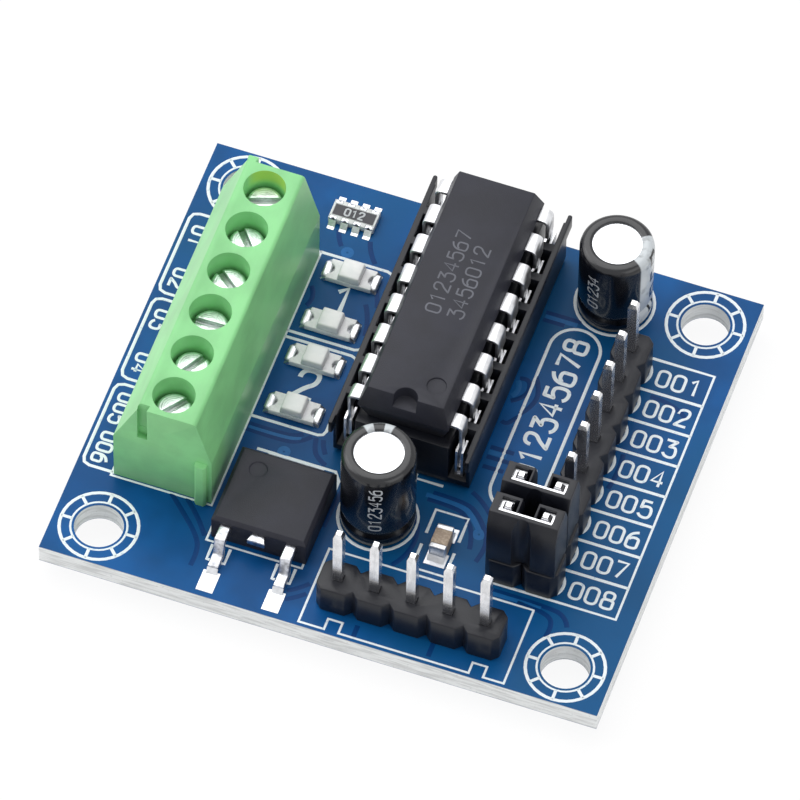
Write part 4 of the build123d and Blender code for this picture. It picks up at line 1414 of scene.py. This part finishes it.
@dataclass
class JumperStrips:
    """The upper edge of each jumper cap's folded strip, where it shows in the cap's slots."""

    thickness: float = 0.17
    height: float = 0.3
    end_room: float = 0.02
    inset: float = 0.09
    sink: float = 0.02
    rounding: float = 0.02

    def dress(self, workshop: "Workshop") -> None:
        """Lays one edge on each cap's strip.

        Args:
            workshop: The module's materials.
        """
        for cap in (1, 2):
            low, high = (Vector(corner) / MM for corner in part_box(f"jumper_cap_{cap}_contact"))
            size = (high.x - low.x - self.end_room, self.thickness, self.height)
            spot = ((low.x + high.x) / 2, low.y + self.inset, high.z - self.sink)
            edge = gather([(slab(size, self.rounding, 1), Matrix.Translation(spot))])
            piece = to_object(edge, f"jumper_cap_{cap}_strip_edge")
            placed(piece, f"jumper_{cap}", workshop.lead)


@dataclass
class TerminalGroove:
    """The back of the groove in the terminal's near end."""

    size: tuple[float, float, float] = (0.9, 0.06, 0.9)
    spot: tuple[float, float, float] = (-14.65, -9.69, 6.7)

    def dress(self, workshop: "Workshop") -> None:
        """Closes the groove's back."""
        back = gather([(slab(self.size, 0.01, 1), Matrix.Translation(self.spot))])
        placed(to_object(back, "groove_back"), "board", workshop.green)


# Capacitors


@dataclass
class Electrolytic:
    """One radial capacitor: a can in a shrunk sleeve, standing on its bung."""

    number: int
    centre: Point
    height: float
    stripe_turn: float
    stripe_half: float
    digits: str
    digits_turn: float
    radius: float = 2.5
    film: float = 0.12
    opening: float = 1.67
    digits_share: float = 0.58
    digits_height: float = 0.8

    def can(self) -> bmesh.types.BMesh:
        """The disc of aluminium inside the sleeve, with its faint pressed ring.

        Returns:
            The can in millimetres.
        """
        top = self.height - self.film
        side = self.radius - self.film - 0.01
        profile = [
            (0, 0.2), (side - 0.3, 0.2), (side - 0.1, 0.4), (side - 0.1, 0.95), (side - 0.35, 1.35),
            (side - 0.1, 1.75), (side - 0.1, top - 0.5), (side - 0.22, top - 0.2),
            (side - 0.5, top - 0.02), (self.opening - 0.1, top), (1.45, top - 0.012),
            (1.4, top - 0.03), (1.35, top - 0.012), (0.6, top), (0, top),
        ]
        return turned(profile, 72)

    def sleeve(self) -> bmesh.types.BMesh:
        """The shrunk film, drawn in over the bead and rolled over the top.

        Returns:
            The sleeve in millimetres.
        """
        top = self.height
        r = self.radius
        profile = [
            (1.95, 0.12), (1.95, 0.0), (r - 0.28, 0.0), (r - 0.1, 0.07), (r, 0.28), (r, 0.92),
            (r - 0.05, 1.08), (r - 0.19, 1.25), (r - 0.24, 1.36), (r - 0.19, 1.48), (r - 0.05, 1.64),
            (r, 1.8), (r, top - 0.5), (r - 0.05, top - 0.28), (r - 0.16, top - 0.12),
            (r - 0.33, top - 0.025), (r - 0.5, top), (self.opening + 0.03, top),
            (self.opening, top - 0.03), (self.opening, top - self.film),
        ]
        return turned(profile, 96)

    def dress(self, workshop: "Workshop", marks: Marks) -> None:
        """Builds and dresses the can, the sleeve and the plain number on it.

        Args:
            workshop: The module's materials.
            marks: What draws the number.
        """
        place = Matrix.Translation((*self.centre, BOARD_TOP))
        name = f"capacitor_{self.number}"
        can = to_object(gather([(self.can(), place)]), f"{name}_drawn_can", 50)
        placed(can, "board", workshop.aluminium, [f"{name}_can"])
        film = ShrinkSleeve(
            f"{name}_film", self.centre, BOARD_TOP, self.height, self.stripe_turn, self.stripe_half
        )
        sleeve = to_object(gather([(self.sleeve(), place)]), f"{name}_shrunk_sleeve", 50)
        placed(sleeve, "board", film.material(), [f"{name}_sleeve"])
        middle = BOARD_TOP + self.height * self.digits_share
        digits = marks.wrapped(
            self.digits, self.centre, self.radius, self.digits_turn, middle, self.digits_height
        )
        placed(to_object(digits, f"{name}_number", 60), "board", workshop.print)


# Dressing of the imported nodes


@dataclass
class Workshop:
    """Every material of the module, made once."""

    def __post_init__(self) -> None:
        """Makes the materials."""
        self.board = SolderMask("board_lacquer").material()
        self.gap = MouldedPlastic(
            "gap_lacquer", shade(3, 56, 112), roughness=0.36, shine=0.12
        ).material()
        self.track = MouldedPlastic(
            "track_lacquer", shade(28, 100, 162), roughness=0.36, shine=0.15
        ).material()
        self.ink = LegendInk("legend_ink").material()
        well = (SCREW_X, FIRST_POLE_Y)
        self.green = TerminalMoulding("terminal_green_moulding", well, WELL_RADIUS).material()
        self.black = MouldedPlastic(
            "black_plastic_moulding", shade(20, 22, 30), roughness=0.36, grain=0.14, depth=0.014
        ).material()
        self.compound = MouldingCompound("chip_compound", shade(36, 37, 46)).material()
        self.mark = MouldedPlastic(
            "laser_mark", shade(104, 106, 114), roughness=0.6, shine=0.2
        ).material()
        self.print = MouldedPlastic("sleeve_print", shade(186, 190, 194), 0.4).material()
        self.screw = ScrewSteel("turned_screw_steel", SCREW_X, FIRST_POLE_Y, POLE_PITCH).material()
        self.cage = Plating(
            "cage_steel", shade(200, 202, 204), roughness=0.36, grain=0.6, depth=0.01
        ).material()
        self.tin = Plating(
            "tinned_pins", shade(236, 236, 238), roughness=0.24, grain=0.25, stretch=(1, 1, 6)
        ).material()
        self.lead = Plating("tinned_leads", shade(232, 233, 236), roughness=0.34, grain=0.4).material()
        self.formed = Plating(
            "formed_leads", shade(222, 224, 230), roughness=0.3, grain=0.28, tarnish=0.6
        ).material()
        self.solder = Plating(
            "bright_solder", shade(230, 232, 236), roughness=0.4, grain=0.5, depth=0.02, tarnish=0.3
        ).material()
        self.aluminium = Plating(
            "drawn_aluminium", shade(244, 246, 250), roughness=0.42, grain=0.35, tarnish=0.06
        ).material()
        self.rubber = MouldedPlastic(
            "bung_rubber_grain", shade(28, 28, 30), roughness=0.7, grain=0.2, depth=0.02
        ).material()
        self.brown = FiredCeramic("brown_ceramic", shade(166, 146, 128), shade(196, 178, 156)).material()
        low, high = (Vector(corner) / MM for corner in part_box("resistor_array_body"))
        self.glaze = GlazedArray(
            "array_glaze", ((low.x + high.x) / 2, (low.y + high.y) / 2), high.x - low.x, high.y - low.y
        ).material()
        self.laminate = FiredCeramic("light_laminate", shade(244, 245, 246), shade(252, 252, 253)).material()
        self.resin = FiredCeramic(
            "light_resin", shade(248, 249, 250), shade(255, 255, 255), roughness=0.18, grain=0.5, scatter=0.3
        ).material()

    def dress_nodes(self) -> None:
        """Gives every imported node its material."""
        plain = {
            "circuit_board": self.board, "terminal_contacts": self.lead, "driver_chip_leads": self.lead,
            "socket_contacts": self.lead, "regulator_tab": self.formed, "regulator_leads": self.formed,
            "ceramic_capacitor_ends": self.solder, "resistor_array_ends": self.solder,
            "solder_joints": self.solder, "surface_solder": self.solder,
        }
        for name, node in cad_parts.items():
            material = plain.get(name)
            if material is None:
                material = self.by_kind(name)
            node.data.materials.clear()
            node.data.materials.append(material)

    def by_kind(self, name: str) -> bpy.types.Material:
        """The material of a node that comes several times, from its name.

        Args:
            name: The node's name.

        Returns:
            Its material.
        """
        kinds = {
            "terminal_screw": self.screw, "terminal_clamp": self.cage, "terminal_housing": self.green,
            "header_pins": self.tin, "header_base": self.black, "socket_frame": self.black,
            "cap_1_housing": self.black, "cap_2_housing": self.black, "cap_1_contact": self.lead,
            "cap_2_contact": self.lead, "_can": self.aluminium, "_sleeve": self.black,
            "_bung": self.rubber, "capacitor_1_leads": self.tin, "capacitor_2_leads": self.tin,
            "ceramic_capacitor_body": self.brown, "resistor_array_body": self.glaze,
            "driver_chip_body": self.compound, "regulator_body": self.compound,
            "_base": self.laminate, "_lens": self.resin,
        }
        return next(material for part, material in kinds.items() if part in name)

    def soften_nodes(self) -> None:
        """Replaces the moulded and formed nodes by copies with rounded edges."""
        rounding = {
            "terminal_housing": 0.09, "driver_chip_body": 0.07, "regulator_body": 0.07,
            "socket_frame": 0.04, "signal_header_base": 0.08, "jumper_header_base": 0.08,
            "power_header_base": 0.08, "jumper_cap_1_housing": 0.09, "jumper_cap_2_housing": 0.09,
            "regulator_tab": 0.05, "regulator_leads": 0.08, "driver_chip_leads": 0.04,
            "ceramic_capacitor_body": 0.04, "ceramic_capacitor_ends": 0.1,
            "resistor_array_body": 0.05, "resistor_array_ends": 0.04,
        }
        bodies = {"jumper_cap_1_housing": "jumper_1", "jumper_cap_2_housing": "jumper_2"}
        for pole in range(1, 7):
            rounding[f"terminal_screw_{pole}"] = 0.05
            bodies[f"terminal_screw_{pole}"] = f"screw_{pole}"
        for light in range(1, 5):
            rounding[f"led_{light}_base"] = 0.05
            rounding[f"led_{light}_lens"] = 0.1
        for node, width in rounding.items():
            piece = softened(node, f"soft_{node}", width)
            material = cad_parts[node].data.materials[0]
            placed(piece, bodies.get(node, "board"), material, [node])


# Studio


@dataclass(frozen=True)
class Lamp:
    """A soft square lamp that looks at the module, placed in degrees and metres."""

    name: str
    azimuth: float
    elevation: float
    reach: float
    size: float
    power: float

    def light(self) -> None:
        """Hangs the lamp. Its azimuth runs from +X towards +Y."""
        a, e = math.radians(self.azimuth), math.radians(self.elevation)
        spot = Vector((math.cos(a) * math.cos(e), math.sin(a) * math.cos(e), math.sin(e))) * self.reach
        data = bpy.data.lights.new(self.name, "AREA")
        data.shape = "SQUARE"
        data.size = self.size
        data.energy = self.power
        lamp = bpy.data.objects.new(self.name, data)
        turn = spot.to_track_quat("Z", "Y").to_matrix().to_4x4()
        lamp.matrix_world = Matrix.Translation(spot) @ turn
        bpy.context.scene.collection.objects.link(lamp)


@dataclass
class Studio:
    """The floor, the lamps and the camera."""

    azimuth: float = 18.40
    elevation: float = 56.17
    roll: float = 1.22
    distance: float = 766.22
    lens: float = 520.8
    across: float = -0.25
    rise: float = 2.53
    room_light: float = 0.5
    lamps: tuple[Lamp, ...] = (
        Lamp("overhead_softbox", 125, 60, reach=0.9, size=0.9, power=5.0),
        Lamp("right_fill", -25, 35, reach=1.0, size=0.7, power=1.8),
        Lamp("left_fill", 185, 40, reach=0.9, size=0.6, power=2.4),
    )

    def axes(self) -> tuple[Vector, Vector, Vector]:
        """The camera's right, up and backward directions.

        Returns:
            The three directions.
        """
        a, e, r = (math.radians(v) for v in (self.azimuth, self.elevation, self.roll))
        back = Vector((math.sin(a) * math.cos(e), -math.cos(a) * math.cos(e), math.sin(e)))
        right = Vector((math.cos(a), math.sin(a), 0))
        up = back.cross(right)
        turned_right = right * math.cos(r) + up * math.sin(r)
        turned_up = up * math.cos(r) - right * math.sin(r)
        return turned_right, turned_up, back

    def camera(self) -> None:
        """Sets the camera where the photograph was taken from."""
        right, up, back = self.axes()
        centre = (right * self.across + up * self.rise + back * self.distance) * MM
        data = bpy.data.cameras.new("viewpoint")
        data.sensor_fit = "HORIZONTAL"
        data.sensor_width = 36.0
        data.lens = self.lens
        data.clip_start, data.clip_end = 0.01, 20.0
        camera = bpy.data.objects.new("viewpoint", data)
        turn = Matrix((right, up, back)).transposed().to_4x4()
        camera.matrix_world = Matrix.Translation(centre) @ turn
        bpy.context.scene.collection.objects.link(camera)
        bpy.context.scene.camera = camera

    def world(self) -> None:
        """Lights the module evenly and shows white behind it."""
        world = bpy.data.worlds.new("white_room")
        world.use_nodes = True
        tree = world.node_tree
        tree.nodes.clear()
        path = tree.nodes.new("ShaderNodeLightPath")
        most = tree.nodes.new("ShaderNodeMath")
        most.operation = "ADD"
        most.use_clamp = True
        tree.links.new(path.outputs["Is Camera Ray"], most.inputs[0])
        tree.links.new(path.outputs["Is Glossy Ray"], most.inputs[1])
        clear = tree.nodes.new("ShaderNodeMath")
        clear.operation = "MAXIMUM"
        tree.links.new(most.outputs[0], clear.inputs[0])
        tree.links.new(path.outputs["Is Transmission Ray"], clear.inputs[1])
        strength = tree.nodes.new("ShaderNodeMapRange")
        strength.inputs["To Min"].default_value = self.room_light
        strength.inputs["To Max"].default_value = 1.0
        tree.links.new(clear.outputs[0], strength.inputs["Value"])
        background = tree.nodes.new("ShaderNodeBackground")
        background.inputs["Color"].default_value = (1.0, 1.0, 1.0, 1.0)
        tree.links.new(strength.outputs[0], background.inputs["Strength"])
        output = tree.nodes.new("ShaderNodeOutputWorld")
        tree.links.new(background.outputs[0], output.inputs["Surface"])
        bpy.context.scene.world = world

    def floor(self) -> None:
        """Lays a large pale floor under the tails."""
        mesh = bmesh.new()
        bmesh.ops.create_grid(mesh, x_segments=2, y_segments=2, size=3.0)
        bmesh.ops.translate(mesh, vec=(0, 0, FLOOR_LEVEL * MM), verts=mesh.verts)
        floor = to_object(mesh, "studio_floor")
        floor.data.materials.append(FloorPaper("floor_paper").material())

    def build(self) -> None:
        """Makes the whole studio."""
        self.camera()
        self.floor()
        self.world()
        for lamp in self.lamps:
            lamp.light()
        bpy.context.scene.view_settings.view_transform = "Standard"


def main() -> None:
    """Builds every sub-assembly in order."""
    logging.basicConfig(level=logging.INFO, format="%(message)s")
    Studio().build()
    workshop = Workshop()
    workshop.dress_nodes()
    workshop.soften_nodes()
    marks = Marks()
    for detail in (Legend(), CopperPattern(), marks, JumperStrips(), TerminalGroove(), BoardDetail()):
        detail.dress(workshop)
    capacitors = (
        Electrolytic(
            1, (0.8, -7.45), 7.75, stripe_turn=109, stripe_half=27, digits="0123456", digits_turn=-76
        ),
        Electrolytic(
            2, (9.95, 13.95), 7.05, stripe_turn=2, stripe_half=34, digits="01234", digits_turn=-110
        ),
    )
    for capacitor in capacitors:
        capacitor.dress(workshop, marks)


if __name__ == "__main__":
    main()
